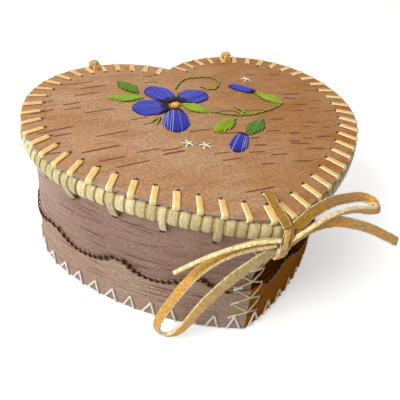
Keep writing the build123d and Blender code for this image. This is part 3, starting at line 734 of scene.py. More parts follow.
def build_quill_group():
    """Flattened quill: a smooth tube with a dyed sheen, darker at its ends, with painted shade along its
    sides and a painted highlight along its crown.
    """
    tree, given, out = new_group(
        "Quill dye",
        [("Dye", "Color", None), ("Shade", "Color", None), ("Crown highlight", "Float", 0.25)],
        [("Color", "Color"), ("Height", "Float"), ("Roughness", "Float")])
    across, along, tone = (attribute(tree, name) for name in ("across", "along", "tone"))
    place = gathered(tree, maths(tree, "MULTIPLY", across, 3.0), maths(tree, "MULTIPLY", along, 2.5),
                     maths(tree, "MULTIPLY", tone, 60.0))
    cloud = speckle(tree, place, 1.4, 2.0)
    share = maths(tree, "MULTIPLY_ADD", tone, 0.5, maths(tree, "MULTIPLY", cloud, 0.35))
    base = blended(tree, share, given["Dye"], given["Shade"])
    # Darker along both sides, painted shade on the rounded quill, and at both ends, where quills meet
    edge = stepped(tree, maths(tree, "ABSOLUTE", across), 0.32, 0.5)
    from_middle = maths(tree, "ABSOLUTE", maths(tree, "SUBTRACT", along, 0.5))
    ends = stepped(tree, from_middle, 0.42, 0.5)
    base = tinted(tree, base, maths(tree, "MAXIMUM", edge, ends), 0.85, given["Shade"])
    # Paler along the crown: a painted highlight
    pale = retoned(tree, given["Dye"], 1.9, 0.6)
    from_crown = maths(tree, "ABSOLUTE", maths(tree, "SUBTRACT", across, -0.08))
    highlight_ridge = stepped(tree, from_crown, 0.06, 0.24, 1.0, 0.0)
    crown = maths(tree, "MULTIPLY", highlight_ridge, given["Crown highlight"])
    tree.links.new(tinted(tree, base, crown, stepped(tree, tone, 0.3, 0.7), pale), out.inputs["Color"])
    tree.links.new(cloud, out.inputs["Height"])
    tree.links.new(maths(tree, "MULTIPLY_ADD", cloud, 0.2, 0.28), out.inputs["Roughness"])
    return tree


FINISH_GROUPS = {"Bark grain": build_bark_group, "Root fibre": build_fibre_group,
                 "Suede nap": build_suede_group, "Quill dye": build_quill_group}


def bark_material(name, colour, grain, streaks, mottling, darker_tint=None, edge=None, specular=0.15,
                  span=(-30, 95), pore=None):
    """Bark, blended into a darker tint towards +X over the span in millimetres: warmer bark on the lid,
    painted shade on the left wall.

    Edge holds the heights at which its cut side ends and its open face starts.
    """
    material, tree, shader = new_material(name, 0.75, specular)
    place = object_place(tree)
    # The darker tint towards +X: warmer bark on the lid, painted shade on the left wall
    if darker_tint:
        drift = maths(tree, "MULTIPLY_ADD", speckle(tree, place, 14.0), 0.05, part_of(tree, place, "X"))
        colour = blended(tree, stepped(tree, drift, span[0] * MM, span[1] * MM), colour, darker_tint)
    found = use_group(tree, "Bark grain",
                      {"Vector": place, "Grain": grain, "Bark": colour,
                       "Pore": pore or settings()[1].bark_pore, "Streaks": streaks, "Mottling": mottling})
    tint = found["Color"]
    if edge:
        layers = speckle(tree, stretched(tree, place, (150, 150, 5000)), 1.0, 2.0)
        side = blended(tree, stepped(tree, layers, 0.4, 0.62), paint(176, 160, 152), paint(98, 84, 80))
        tint = blended(tree, stepped(tree, part_of(tree, place, "Z"), *edge), side, tint)
    finish_material(tree, shader, tint, found["Height"], 0.12 * MM, 0.5, found["Roughness"])
    return material


def root_material(name, pale, deep, lines, drift=False, specular=0.3):
    """Split root; drift makes it browner towards +X."""
    material, tree, shader = new_material(name, 0.42, specular)
    found = use_group(tree, "Root fibre", {"Pale": pale, "Deep": deep, "Lines": lines})
    tint = found["Color"]
    if drift:
        side = part_of(tree, object_place(tree), "X")
        brown = blended(tree, 1.0, tint, paint(222, 208, 186), "MULTIPLY")
        tint = blended(tree, stepped(tree, side, -70 * MM, 60 * MM), tint, brown)
    finish_material(tree, shader, tint, found["Height"], 0.1 * MM, 0.8, found["Roughness"])
    return material


def edge_root_material(name, pale, deep):
    """Split root over the lid's edge: straw coloured past the bend, with a painted highlight along one side
    and painted shade along the other.
    """
    material, tree, shader = new_material(name, 0.4, 0.5)
    found = use_group(tree, "Root fibre", {"Pale": pale, "Deep": deep, "Lines": 6.0})
    past_bend = stepped(tree, attribute(tree, "along"), 0.43, 0.47)
    across = attribute(tree, "across")
    tint = tinted(tree, found["Color"], past_bend, 0.8, paint(210, 196, 128))
    # A painted highlight along one side of each strip, and painted shade along the other
    tint = tinted(tree, tint, stepped(tree, across, -0.24, -0.4), 0.75, paint(255, 244, 206))
    tint = tinted(tree, tint, stepped(tree, across, 0.3, 0.44), 0.75, paint(150, 96, 34))
    finish_material(tree, shader, tint, found["Height"], 0.08 * MM, 0.6, found["Roughness"])
    return material


def quill_material(name, dye, shade, crown):
    material, tree, shader = new_material(name, 0.4, 0.12)
    # crown is the strength of the painted highlight along each quill's crown
    found = use_group(tree, "Quill dye", {"Dye": dye, "Shade": shade, "Crown highlight": crown})
    finish_material(tree, shader, found["Color"], found["Height"], 0.04 * MM, 0.5, found["Roughness"])
    return material


def suede_material(name, face, edge):
    material, tree, shader = new_material(name, 0.92, 0.2, sheen=0.25)
    found = use_group(tree, "Suede nap", {"Vector": object_place(tree), "Face": face, "Edge": edge})
    finish_material(tree, shader, found["Color"], found["Height"], 0.25 * MM, 0.8)
    return material


def sinew_material(name, colour):
    """Sinew, straw coloured towards +X: painted shade on the right side, turned from the lamps."""
    material, tree, shader = new_material(name, 0.45, 0.4)
    side = part_of(tree, object_place(tree), "X")
    # Straw coloured towards +X: painted shade
    colour = blended(tree, stepped(tree, side, 0.0, 14 * MM, 0.0, 0.8), colour, paint(206, 164, 92))
    strand = speckle(tree, stretched(tree, object_place(tree), (900, 900, 300)), 1.0, 2.0, 0.6)
    tint = blended(tree, stepped(tree, strand, 0.4, 0.75), colour, retoned(tree, colour, 0.62))
    finish_material(tree, shader, tint, strand, 0.1 * MM)
    return material


def dark_material(name, *screen):
    """A plain dull colour with half of it as grit, for holes, pores and torn bark; on holes the dark colour
    is painted shade.
    """
    material, tree, shader = new_material(name, 0.7, 0.3)
    grit = speckle(tree, object_place(tree), 700.0, 2.0)
    tint = blended(tree, grit, paint(*screen), paint(*[value * 0.5 for value in screen]))
    finish_material(tree, shader, tint, grit, 0.1 * MM)
    return material


def dress(material, *names):
    """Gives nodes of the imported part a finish."""
    for name in names:
        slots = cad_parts[name].data.materials
        slots.clear()
        slots.append(material)


class BASKET_OT_stage(bpy.types.Operator):
    """Adds the camera, the lamps, the white surroundings and the floor."""
    bl_idname = "basket.stage"
    bl_label = "Stage"

    def execute(self, context):
        camera = bpy.data.cameras.new("camera")
        camera.sensor_width = 36.0
        camera.lens = 39.708
        camera.clip_start = 0.01
        viewer = link_object("camera", camera)
        stand = Vector((-87.1, -209.1, 197.0)) * MM
        azimuth, height, roll = radians(-25.39), radians(39.14), radians(6.28)
        back = Vector((sin(azimuth) * cos(height), -cos(azimuth) * cos(height), sin(height)))
        right = Vector((cos(azimuth), sin(azimuth), 0))
        above = back.cross(right)
        across = right * cos(roll) + above * sin(roll)
        viewer.matrix_world = axes(stand, across, back.cross(across), back)
        context.scene.camera = viewer

        middle = Vector((0, -0.02, 0.05))
        for name, place, size, power in (("key_lamp", (-0.75, -0.3, 0.75), 0.45, 9.2),
                                         ("top_lamp", (-0.1, 0.3, 1.1), 0.9, 4.0)):
            lamp = bpy.data.lights.new(name, "AREA")
            lamp.size = size
            lamp.energy = power
            holder = link_object(name, lamp)
            holder.location = place
            holder.rotation_euler = (Vector(place) - middle).to_track_quat("Z", "Y").to_euler()

        # White where it is seen, and dimmer as a light
        world = bpy.data.worlds.new("studio")
        world.use_nodes = True
        sky = world.node_tree
        plain = sky.nodes["Background"]
        plain.inputs["Color"].default_value = (1.0, 0.985, 0.965, 1)
        light = 0.35
        strength = maths(sky, "MULTIPLY_ADD", seen_rays(sky), 1 - light, light)
        sky.links.new(strength, plain.inputs["Strength"])
        context.scene.world = world

        mesh = bmesh.new()
        bmesh.ops.create_grid(mesh, x_segments=8, y_segments=8, size=3.0)
        data = bpy.data.meshes.new("floor")
        mesh.to_mesh(data)
        mesh.free()
        floor = link_object("floor", data)
        floor.location.z = -0.2 * MM
        cover, tree, shader = new_material("pale_floor", 0.9, 0.1)
        shader.inputs["Base Color"].default_value = (0.86, 0.86, 0.86, 1)
        shader.inputs["Emission Color"].default_value = (1, 1, 1, 1)
        glow = maths(tree, "MULTIPLY", seen_rays(tree), 0.42)
        tree.links.new(glow, shader.inputs["Emission Strength"])
        data.materials.append(cover)
        context.scene.view_settings.view_transform = "Standard"
        return {"FINISHED"}


def knot_ring(name, middle, reach, rise, tilt, width, shade, suede):
    """One wrap of the bow's knot, with its sizes in millimetres."""
    points, faces = [], []
    for step in range(10):
        angle = tau * step / 10
        flat = Vector((0, reach * cos(angle), rise * sin(angle))) * MM
        turned = Matrix.Rotation(radians(tilt), 3, "Z") @ flat
        points.append(KNOT + Vector(middle) * MM + turned)
        faces.append(turned)
    return strap(name, points, faces, width * MM, 1.4 * MM, suede, cyclic=True, shades=(shade,))[0]


class BASKET_OT_bow(bpy.types.Operator):
    """Lays the four free stretches of the leather bow, its knot and the two thongs that lead to it."""
    bl_idname = "basket.bow"
    bl_label = "Bow"

    def execute(self, context):
        sizes, colours = settings()
        suede = suede_material("suede", colours.leather, colours.leather_edge)
        # Control points in millimetres from the middle of the knot, the strap's twist in degrees at each,
        # how olive it is from its first point to its last, partly painted shade, and where its far end is
        stretches = {
            "bow_loop_left": (
                [(-2.2, 1.2, -1.5), (-10.6, 5.6, -5.0), (-20.3, 10.8, -13.0), (-28.3, 15.0, -24.0),
                 (-34.4, 18.3, -39.0), (-39.3, 20.9, -53.0), (-43.3, 23.0, -65.5), (-41.9, 22.3, -73.0),
                 (-35.8, 19.0, -73.5), (-30.0, 15.9, -62.0), (-25.2, 13.4, -47.0), (-18.1, 9.6, -31.0),
                 (-10.6, 5.6, -17.0), (-2.0, 1.0, -4.5)],
                (65, 60, 45, 30, 20, 20, 40, 75, 60, 25, 15, 10, 5, 20),
                (0.3, 0.0, 0.0, 0.0, 0.0, -0.1, -0.7, -1.0), "object"),
            "bow_end_left": (
                [(-2.5, -0.6, 2.0), (-7.5, 1.2, 1.6), (-13.5, 3.5, -0.6), (-22.5, 7.0, -5.6),
                 (-31.0, 10.4, -12.2), (-39.0, 13.2, -19.2)],
                (-95, -95, -90, -85, -80, -75), (0.3, 0.1, 0.0), "bare"),
            "bow_loop_right": (
                [(2.5, 1.0, 3.5), (9.0, 2.6, 8.2), (18.0, 5.3, 9.6), (28.0, 8.6, 8.0), (38.5, 11.6, 4.4),
                 (46.0, 13.2, 2.2), (50.4, 11.2, 0.8), (50.2, 6.0, 0.6), (45.2, 4.2, 1.6), (36.5, 4.0, 4.8),
                 (26.5, 2.4, 7.2), (15.0, -0.4, 7.6), (7.5, -1.8, 5.0), (2.0, -1.6, 0.5)],
                (-10, -15, -15, -15, -20, -20, -20, -30, -50, -65, -70, -75, -75, -60),
                (1.0, 0.8, 0.4, 0.0, 0.0, 0.3, 0.4), "object"),
            "bow_end_right": (
                [(2.5, 0.0, -1.5), (8.0, 0.8, 1.6), (15.0, 1.6, 3.4), (24.0, 1.7, 3.4), (35.0, 1.4, -1.0),
                 (45.0, 1.6, -6.2), (55.0, 1.2, -12.6), (65.5, 1.5, -19.8)],
                (55, 45, 30, 20, 10, 5, 0, -5), (0.3, 0.0, 0.0), "bare"),
        }
        for name, (route, twists, shades, far_end) in stretches.items():
            points = [KNOT + point for point in in_millimetres(route)]
            piece, path = strap(name + "_strap", points, twisted(route, twists), sizes.thong_width,
                                sizes.thong_thickness, suede, shades=shades)
            ride(piece, "basket", (name,))

        wraps = [knot_ring("knot_wrap", (1.9, 0.0, 1.4), 2.7, 4.9, -34, 1.9, 1.0, suede),
                 knot_ring("knot_over", (0.1, -0.3, 1.0), 2.6, 4.7, -30, 1.9, -0.4, suede),
                 knot_ring("knot_under", (-0.4, -0.4, -3.0), 2.2, 2.2, -22, 3.3, -1.0, suede)]
        ride(join("knot_of_the_bow", wraps), "basket", ("bow_knot",))

        thong = strap(
            "lid_tie_strap",
            in_millimetres([(0.2, -88.2, 82.0), (0.2, -88.4, 84.6), (0.0, -89.4, 87.1), (-0.6, -94.5, 86.7),
                            (-1.5, -101.0, 86.6), (-2.2, -106.0, 87.2), (-2.7, -109.4, 87.3),
                            (-2.9, -111.2, 86.6)]),
            [(0, 1, 0), (-0.1, 0.9, 0.4), (-0.3, 0, 0.9), (-0.45, -0.2, 0.8), (-0.5, -0.3, 0.75),
             (-0.5, -0.4, 0.75), (-0.4, -0.6, 0.6), (-0.2, -0.9, 0.3)],
            sizes.thong_width * 0.8, 1.2 * MM, suede, shades=(1.0,))[0]
        ride(thong, "lid", ("lid_thong",))
        tail = strap(
            "wall_tie_strap",
            in_millimetres([(-3.0, -100.5, 69.6), (-3.0, -104.5, 69.6), (-3.0, -109.5, 69.4),
                            (-3.0, -111.4, 71.4), (-3.0, -111.6, 77.2)]),
            [(0, 0, 1), (0, 0, 1), (0, -0.5, 0.8), (0, -1, 0.2), (0, -1, 0)],
            sizes.thong_width, sizes.thong_thickness, suede)[0]
        ride(tail, "basket", ("wall_thong",))
        return {"FINISHED"}


class BASKET_OT_bark(bpy.types.Operator):
    """Gives the bark and the rim's hoops their finishes, and lays the lid's pores and the wall's dots."""
    bl_idname = "basket.bark"
    bl_label = "Bark"

    def execute(self, context):
        colours = settings()[1]
        dress(bark_material("lid_bark", colours.lid_bark, (55, 800, 55), 0.28, 0.75, colours.warm_bark,
                            (LID_TOP - 0.12 * MM, LID_TOP - 0.04 * MM)), "lid_panel")
        # The left wall darkens towards +X, to the tip: painted shade on the part turned from the key lamp
        dress(bark_material("wall_bark", colours.wall_bark, (34, 34, 900), 0.9, 0.8, paint(142, 112, 98),
                            span=(-85, -40)), "wall_left")
        dress(bark_material("band_bark", colours.band_bark, (34, 34, 900), 0.8, 0.8), "band_left")
        # Right wall and right band: amber bark darkened with painted shade, in colour and pores, on the side
        # turned from the key lamp
        dress(bark_material("shaded_amber_wall_bark", colours.shaded_amber_bark, (38, 38, 800), 0.6, 0.4, specular=0.0,
                            pore=paint(40, 16, 0)), "wall_right")
        dress(bark_material("shaded_amber_band_bark", paint(140, 84, 14), (38, 38, 800), 0.5, 0.4, specular=0.0,
                            pore=paint(70, 34, 0)), "band_right")
        dress(bark_material("lining_bark", paint(206, 168, 124), (55, 800, 55), 0.2, 0.4,
                            edge=(LID_UNDER + 0.12 * MM, LID_UNDER + 0.04 * MM)), "lid_lining")
        dress(bark_material("hoop_wood", paint(176, 146, 96), (300, 300, 2500), 0.3, 0.3),
              "rim_hoop_left", "rim_hoop_right")
        dress(bark_material("base_bark", paint(158, 128, 106), (50, 700, 50), 0.5, 0.5), "base_panel")

        # Longer dark pores of the lid: place and length as shares of half its width, and angle in degrees
        pore_shares = [
            (-0.878, 0.016, 0.143, 14), (-0.876, 0.121, 0.162, 17), (-0.875, -0.414, 0.072, 0),
            (-0.839, -0.197, 0.222, 10), (-0.814, -0.254, 0.098, 6), (-0.717, 0.018, 0.114, 9),
            (-0.712, 0.076, 0.109, 9), (-0.649, -0.431, 0.217, 8), (-0.633, 0.335, 0.210, 7),
            (-0.613, -0.531, 0.154, 4), (-0.605, 0.180, 0.169, 7), (-0.576, -0.039, 0.190, 6),
            (-0.558, -0.299, 0.199, 6), (-0.551, 0.270, 0.181, 9), (-0.528, -0.598, 0.194, 4),
            (-0.421, -0.502, 0.144, 4), (-0.382, -0.174, 0.108, 3), (-0.341, -0.241, 0.076, 7),
            (-0.302, -0.519, 0.132, 4), (-0.300, -0.551, 0.134, 4), (-0.180, 0.266, 0.109, -3),
            (-0.162, 0.354, 0.114, 0), (-0.095, -0.376, 0.133, 0), (-0.060, -0.616, 0.104, -2),
            (-0.030, -0.681, 0.123, 0), (-0.009, -0.947, 0.172, -1), (0.070, -0.440, 0.142, -8),
            (0.127, -0.651, 0.096, -8), (0.129, -0.764, 0.077, -6), (0.175, -0.594, 0.078, -6),
            (0.177, -0.206, 0.264, -9), (0.179, -0.521, 0.070, -2), (0.233, -0.702, 0.107, -5),
            (0.323, -0.476, 0.098, -7), (0.328, -0.790, 0.105, -11), (0.352, -0.237, 0.112, -14),
            (0.386, -0.604, 0.075, -10), (0.405, -0.633, 0.113, -14), (0.408, -0.358, 0.093, -11),
            (0.431, -0.527, 0.075, -8), (0.465, -0.700, 0.115, -14), (0.473, -0.594, 0.057, -13),
            (0.538, 0.255, 0.078, -15), (0.540, -0.478, 0.064, -13), (0.580, -0.599, 0.094, -8),
            (0.593, -0.290, 0.088, -10), (0.607, -0.442, 0.093, -14), (0.628, -0.132, 0.096, -12),
            (0.651, -0.511, 0.056, -17), (0.656, -0.225, 0.085, -12), (0.670, -0.077, 0.135, -8),
            (0.712, 0.224, 0.097, -6), (0.718, -0.289, 0.069, -13), (0.790, -0.199, 0.078, -15),
            (0.844, -0.064, 0.125, -16)]
        frames, scales = [], []
        for x, y, length, angle in pore_shares:
            ahead = polar(1, angle)
            frames.append(axes(Vector((x, y, 0)) * HALF_WIDTH + UP * LID_TOP, ahead, UP, ahead.cross(UP)))
            scales.append((length * HALF_WIDTH, 1, 1))
        dark = dark_material("lid_pore", 140, 84, 54)
        lens = [(-0.5, -0.1 * MM), (-0.36, 0.08 * MM), (0, 0.1 * MM), (0.36, 0.08 * MM), (0.5, -0.1 * MM)]
        lay_strips("lid_pores", "lid", frames, lens, dark, 0.95 * MM, 0.1 * MM, scales, spread=0.3,
                   tilt=radians(2))

        # Rows of fine dots on the left wall: distances of their ends from the cleft and their heights there,
        # in millimetres
        frames = []
        dots = 10
        for first, last, low, high in ((143, 166, 50.0, 57.8), (191.5, 214.6, 49.8, 56.6)):
            for number in range(dots):
                share = number / (dots - 1)
                place = place_at(*FOOT, (first + (last - first) * share) * MM)
                point, normal, rise = wall_point(place, (low + (high - low) * share) * MM)
                side = rise.cross(normal).normalized()
                frames.append(mirrored(axes(point, -side, normal, normal.cross(side))))
        dot = in_millimetres([(-0.7, 0, 0), (0, 0.08, 0), (0.7, 0, 0)])
        lay_strips("wall_dots", "basket", frames, dot, dark, 0.45 * MM, 0.1 * MM, spread=0.3,
                   tilt=radians(14))
        return {"FINISHED"}


class BASKET_OT_rim(bpy.types.Operator):
    """Whips the rim with split root, and catches every fifth turn in the wall."""
    bl_idname = "basket.rim"
    bl_label = "Rim whipping"

    def execute(self, context):
        sizes, colours = settings()
        straw = root_material("straw_root", colours.straw_root, paint(158, 138, 80), 13.0, drift=True,
                              specular=0.55)
        length = half_length(RIM_INSET, LID_SHAPE)
        count = int(length / TURN_STEP)
        frames = [rim_frame(RIM_INSET, length * (number + 0.5) / count, RIM_TOP - RIM_HEIGHT / 2)
                  for number in range(count)]
        caught = frames[::-5]
        plain = [matrix for matrix in frames if matrix not in caught]
        depth = RIM_DEPTH / 2 - sizes.turn_thickness / 2
        height = RIM_HEIGHT / 2 - sizes.turn_thickness / 2
        loop = [(depth * cos(tau * step / 22), -height * sin(tau * step / 22)) for step in range(22)]
        lay_strips("rim_turns", "basket", both_halves(plain), loop, straw, sizes.turn_width,
                   sizes.turn_thickness, cyclic=True, tilt=sizes.turn_tilt, spread=0.1,
                   replaces=("rim_whipping_left", "rim_whipping_right"))

        # From behind the coil, over its top and its face, and down into a hole in the wall
        long_width = 3.7 * MM
        hole = -RIM_HEIGHT / 2 - 6.6 * MM
        line = [(depth * cos(radians(angle)), height * sin(radians(angle))) for angle in range(200, -46, -15)]
        line += [(0.6 * MM, -RIM_HEIGHT / 2 - 1.4 * MM), (-1.2 * MM, hole + 1.2 * MM), (-2.6 * MM, hole),
                 (-4.2 * MM, hole - 0.2 * MM)]
        long_frames = both_halves(caught)
        lay_strips("rim_long_stitches", "basket", long_frames, line, straw, long_width, sizes.turn_thickness,
                   tilt=radians(2), spread=0.08,
                   replaces=("rim_long_stitches_left", "rim_long_stitches_right"))
        # Dark patches at the holes of the long stitches: painted shade inside the holes
        shift = Matrix.Translation((-2.35 * MM, hole - 0.5 * MM, 0.9 * MM))
        holes = [matrix @ shift for matrix in long_frames]
        lay_strips("wall_holes", "basket", holes, [(-0.5 * MM, 0), (0.2 * MM, 0)],
                   dark_material("wall_hole", 52, 34, 28), 2.6 * MM, 1.6 * MM, tilt=radians(12), spread=0.3)
        return {"FINISHED"}


class BASKET_OT_lid_stitches(bpy.types.Operator):
    """Sews root strips over the lid's edge, each through its own awl hole."""
    bl_idname = "basket.lid_stitches"
    bl_label = "Lid stitches"

    def execute(self, context):
        sizes, colours = settings()
        root = edge_root_material("golden_root", colours.golden_root, paint(214, 158, 82))
        length = half_length(0, LID_SHAPE)
        count = int(length / LID_STITCH_STEP)
        frames = []
        for number in range(count):
            share = (number + 0.5) / count
            frames.append(rim_frame(0, length * share, LID_UNDER, sizes.edge_stitch_lean * min(1, 2 * share)))
        frames = both_halves(frames)
        thickness = 0.62 * MM
        lid_thickness = LID_TOP - LID_UNDER
        top, under = lid_thickness + thickness / 2, -thickness / 2
        line = rounded([(-9.7 * MM, -0.3 * MM), (-9.6 * MM, top), (thickness / 2, top),
                        (thickness / 2, under), (-9.0 * MM, under)], 0.9 * MM)
        lay_strips("lid_edge_stitches", "lid", frames, line, root, sizes.edge_stitch_width, thickness,
                   tilt=radians(1.5), spread=0.1, replaces=("lid_stitches_left", "lid_stitches_right"))

        # Dark patches at the awl holes: painted shade inside the holes
        holes = [matrix @ Matrix.Translation((-10.3 * MM, lid_thickness, 0)) for matrix in frames]
        lay_strips("awl_holes", "lid", holes, [(-0.7 * MM, 0), (0.7 * MM, 0.05 * MM)],
                   dark_material("awl_hole", 44, 26, 18), 1.9 * MM, 0.25 * MM, tilt=radians(20), spread=0.25)
        torn = [matrix @ Matrix.Translation((-1.0 * MM, 0.1 * MM, 0.5 * MM)) for matrix in holes]
        lay_strips("awl_fringe", "lid", torn, [(-0.9 * MM, -0.05 * MM), (0, 0.2 * MM), (0.8 * MM, 0)],
                   dark_material("bark_fringe", 216, 188, 150), 0.35 * MM, 0.25 * MM, tilt=radians(35),
                   spread=0.3)
        return {"FINISHED"}


def sew_foot(thread, sinew):
    """Inverted V stitches of sinew along the foot of the bands."""
    foot = half_length(*FOOT)
    count = int(foot / FOOT_STITCH_STEP)
    frames = []
    for number in range(count):
        place = place_at(*FOOT, foot * (number + 0.5) / count)
        point, normal, rise = wall_point(place, 0.0, BAND_THICKNESS)
        side = rise.cross(normal).normalized()
        frames.append(axes(point, rise, side.cross(rise), side))
    line = rounded(in_millimetres([(1.0, -1.0, -3.5), (1.1, 0.5, -3.4), (10.3, 0.5, 0), (1.1, 0.5, 3.4),
                                   (1.0, -1.0, 3.5)]), 0.7 * MM)
    lay_strips("foot_stitches", "basket", both_halves(frames), line, sinew, thread * 1.3, thread * 1.1,
               section=ROUND_SECTION, tilt=radians(2), spread=0.1,
               replaces=("base_stitches_left", "base_stitches_right"))


def wavy_places(shift, slant):
    """Places along the band's scalloped edge and the size of the stitch at each. Slant is in degrees."""
    reach, inward = 1.25 * MM, 0.8 * MM
    foot = half_length(*FOOT)
    frames, scales = [], []
    for number in range(int((foot - 2 * SEAM_REACH) / WAVY_STITCH_STEP) - 1):
        middle = SEAM_REACH + WAVY_STITCH_STEP * (number + 1) - shift
        here, onward = (place_at(*FOOT, foot - middle + step) for step in (0, reach))
        edge, next_edge = band_edge(middle), band_edge(middle - reach)
        point, normal, rise = wall_point(here, edge - inward, BAND_THICKNESS)
        run = (wall_point(onward, next_edge - inward, BAND_THICKNESS)[0] - point).normalized()
        side = run.cross(normal).normalized()
        frames.append(axes(point, run, side.cross(run), side) @ Matrix.Rotation(radians(slant), 4, "Y"))
        # Thick where the edge is steep, thin along its tops and dips
        steep = min(1, abs(next_edge - edge) / (0.5 * MM))
        scales.append((0.78 + 0.12 * steep, 1.2, 0.75 + 0.35 * steep))
    return both_halves(frames), scales * 2


def sew_wavy_edge(width, dark_root):
    """Dark root stitches along the scalloped edge, with thin paler ties between them."""
    brown = root_material("dark_root", dark_root, paint(40, 22, 12), 3.0, specular=0.05)
    bar = [(-1.5 * MM, -0.1 * MM), (-1.1 * MM, 0.4 * MM), (0, 0.6 * MM), (1.1 * MM, 0.4 * MM),
           (1.5 * MM, -0.1 * MM)]
    frames, scales = wavy_places(0, 26)
    lay_strips("wavy_seam", "basket", frames, bar, brown, width, 0.7 * MM, scales, tilt=radians(9),
               spread=0.2, replaces=("wave_stitches_left", "wave_stitches_right"))
    pale_brown = root_material("brown_root", paint(158, 118, 78), paint(92, 62, 38), 3.0, specular=0.1)
    frames, scales = wavy_places(WAVY_STITCH_STEP / 2, -30)
    lay_strips("wavy_seam_ties", "basket", frames, bar, pale_brown, width * 0.42, 0.8 * MM, scales,
               tilt=radians(9), spread=0.2)


def off_wall(height, clearance):
    """How far a thread lies off the wall, which is more over a band than above it."""
    return (BAND_THICKNESS if height < BAND_TOP else 0) + clearance


def seam_hole(place, height):
    """The inner and the outer end of a hole in the right wall."""
    point, normal, rise = wall_point(place, height, off_wall(height, 0.35 * MM))
    return point - normal * 2.6 * MM, point


def sew_corner(name, place, middle_of, thread, gut, replaces):
    """Crossed threads through six pairs of holes; returns the left wall's lower hole of each crossing."""
    heights = [SEAM_START + SEAM_STEP * row for row in range(6)]
    curve = new_curve(name)
    curve.bevel_depth = 0.48 * thread
    curve.bevel_resolution = 2
    roots = []
    for low, high in zip(heights, heights[1:]):
        for start, end in ((low, high), (high, low)):
            left_inner, left = (spot * OTHER_SIDE for spot in seam_hole(place, start))
            right_inner, right = seam_hole(place, end)
            smooth_line(curve, [left_inner, left, *middle_of(left, right), right, right_inner])
            roots.append(left)
    carrier = link_object(name + "_line", curve)
    mesh = plain_mesh(carrier)
    bpy.data.objects.remove(carrier)
    mesh.materials.clear()
    mesh.materials.append(gut)
    ride(link_object(name, mesh), "basket", replaces)
    return roots[::2]


def seam_share(arc):
    """The share of an arc of the foot that the holes of a corner seam are away from the corner."""
    centre, radius, first, turn = heart_arcs(*FOOT)[arc]
    return SEAM_REACH / (radius * radians(abs(turn)))


def round_tip(first, last):
    """The points that lead a thread round the corner at the tip."""
    height = (first.z + last.z) / 2
    corner = wall_point(NEAR_TIP, height, off_wall(height, 0.4 * MM))[0]
    corner = Vector((0, corner.y - 0.2 * MM, height))
    return [first.lerp(corner, 0.9) - UP * 0.2 * MM, corner, last.lerp(corner, 0.9)]


def knot_tip_seam(roots, sinew):
    """Three short ties of sinew beside the lower holes of the tip seam."""
    ties = []
    for root, rise in zip(roots, (0.35, 0.3, 0.15)):
        corner = Vector((-0.2 * MM, wall_point(NEAR_TIP, root.z, 1.6 * MM)[0].y, root.z + 2 * MM))
        run = ((corner - root).normalized() + UP * rise).normalized()
        side = run.cross(UP)
        ties.append(axes(root + run * 1.9 * MM, run, side.cross(run), side))
    lay_strips("seam_knots", "basket", ties, [(-2.2 * MM, -0.3 * MM), (-1 * MM, 0.3 * MM), (2.2 * MM, 0)],
               sinew, 1.3 * MM, 1.0 * MM, section=ROUND_SECTION, spread=0.15)


class BASKET_OT_wall_stitches(bpy.types.Operator):
    """Sews the foot, the wavy edge and the two corner seams."""
    bl_idname = "basket.wall_stitches"
    bl_label = "Wall stitches"

    def execute(self, context):
        sizes, colours = settings()
        sinew = sinew_material("sinew", colours.sinew)
        sew_foot(sizes.thread_width, sinew)
        sew_wavy_edge(sizes.dark_stitch_width, colours.dark_root)
        gut = sinew_material("seam_sinew", paint(206, 190, 146))
        roots = sew_corner("tip_seam", 3 - seam_share(2), round_tip, sizes.thread_width, gut,
                           ("front_seam_lacing",))
        knot_tip_seam(roots[:3], sinew)
        sew_corner("cleft_seam", seam_share(0), lambda first, last: [first.lerp(last, 0.5)],
                   sizes.thread_width, gut, ("back_seam_lacing",))
        return {"FINISHED"}


def lid_spot(share):
    """A place on the lid from its shares of half the lid's width."""
    return Vector((*share, 0)) * HALF_WIDTH


def lay_quills(name, runs, material, replaces=(), width=1.0, height=1.0, tilt=2.0):
    """Lays one quill along each run, which is its start, its end and its lift off the lid."""
    sizes = settings()[0]
    frames, scales = [], []
    for start, end, lift in runs:
        run = end - start
        ahead = run.normalized()
        frames.append(axes((start + end) / 2 + UP * (LID_TOP + lift), ahead, UP, ahead.cross(UP)))
        scales.append((run.length, height, width))
    lay_strips(name, "lid", frames, QUILL_ARCH, material, sizes.quill_width, sizes.quill_height, scales,
               tilt=radians(tilt), spread=0.06, replaces=replaces)


def laid_in(start, end, breadth, spacing, outline, slant=0.0, fan=0.0, crown=0.0):
    """Quills laid side by side inside an outline, slanted, or fanned out from its root."""
    root, swell, blunt = outline
    run = end - start
    ahead = run.normalized()
    across = Vector((-ahead.y, ahead.x, 0))
    reach = breadth / 2 + run.length / 2 * abs(sin(slant))
    count = round(2 * reach / spacing)
    runs = []
    for number in range(count):
        side = 2 * (number + 0.5) / count - 1
        way = ahead * cos(slant + side * fan) + across * sin(slant + side * fan)
        middle = start + run / 2 + across * side * reach * (0.9 if fan else 1.0)
        # Fine steps along the quill's line, of which those inside the outline are kept
        inside = []
        for step in range(-100, 101):
            here = middle + way * step * run.length / 150
            share = (here - start).dot(ahead) / run.length
            if 0 < share < 1:
                half = breadth / 2 * sin(pi * (root + (1 - root) * share ** swell)) ** blunt
                if abs((here - start).dot(across)) < half:
                    inside.append(here)
        if len(inside) > 8:
            lift = crown * (1 - side ** 2) + 0.08 * MM * (number % 2)
            runs.append((inside[0], inside[-1], lift))
    return runs


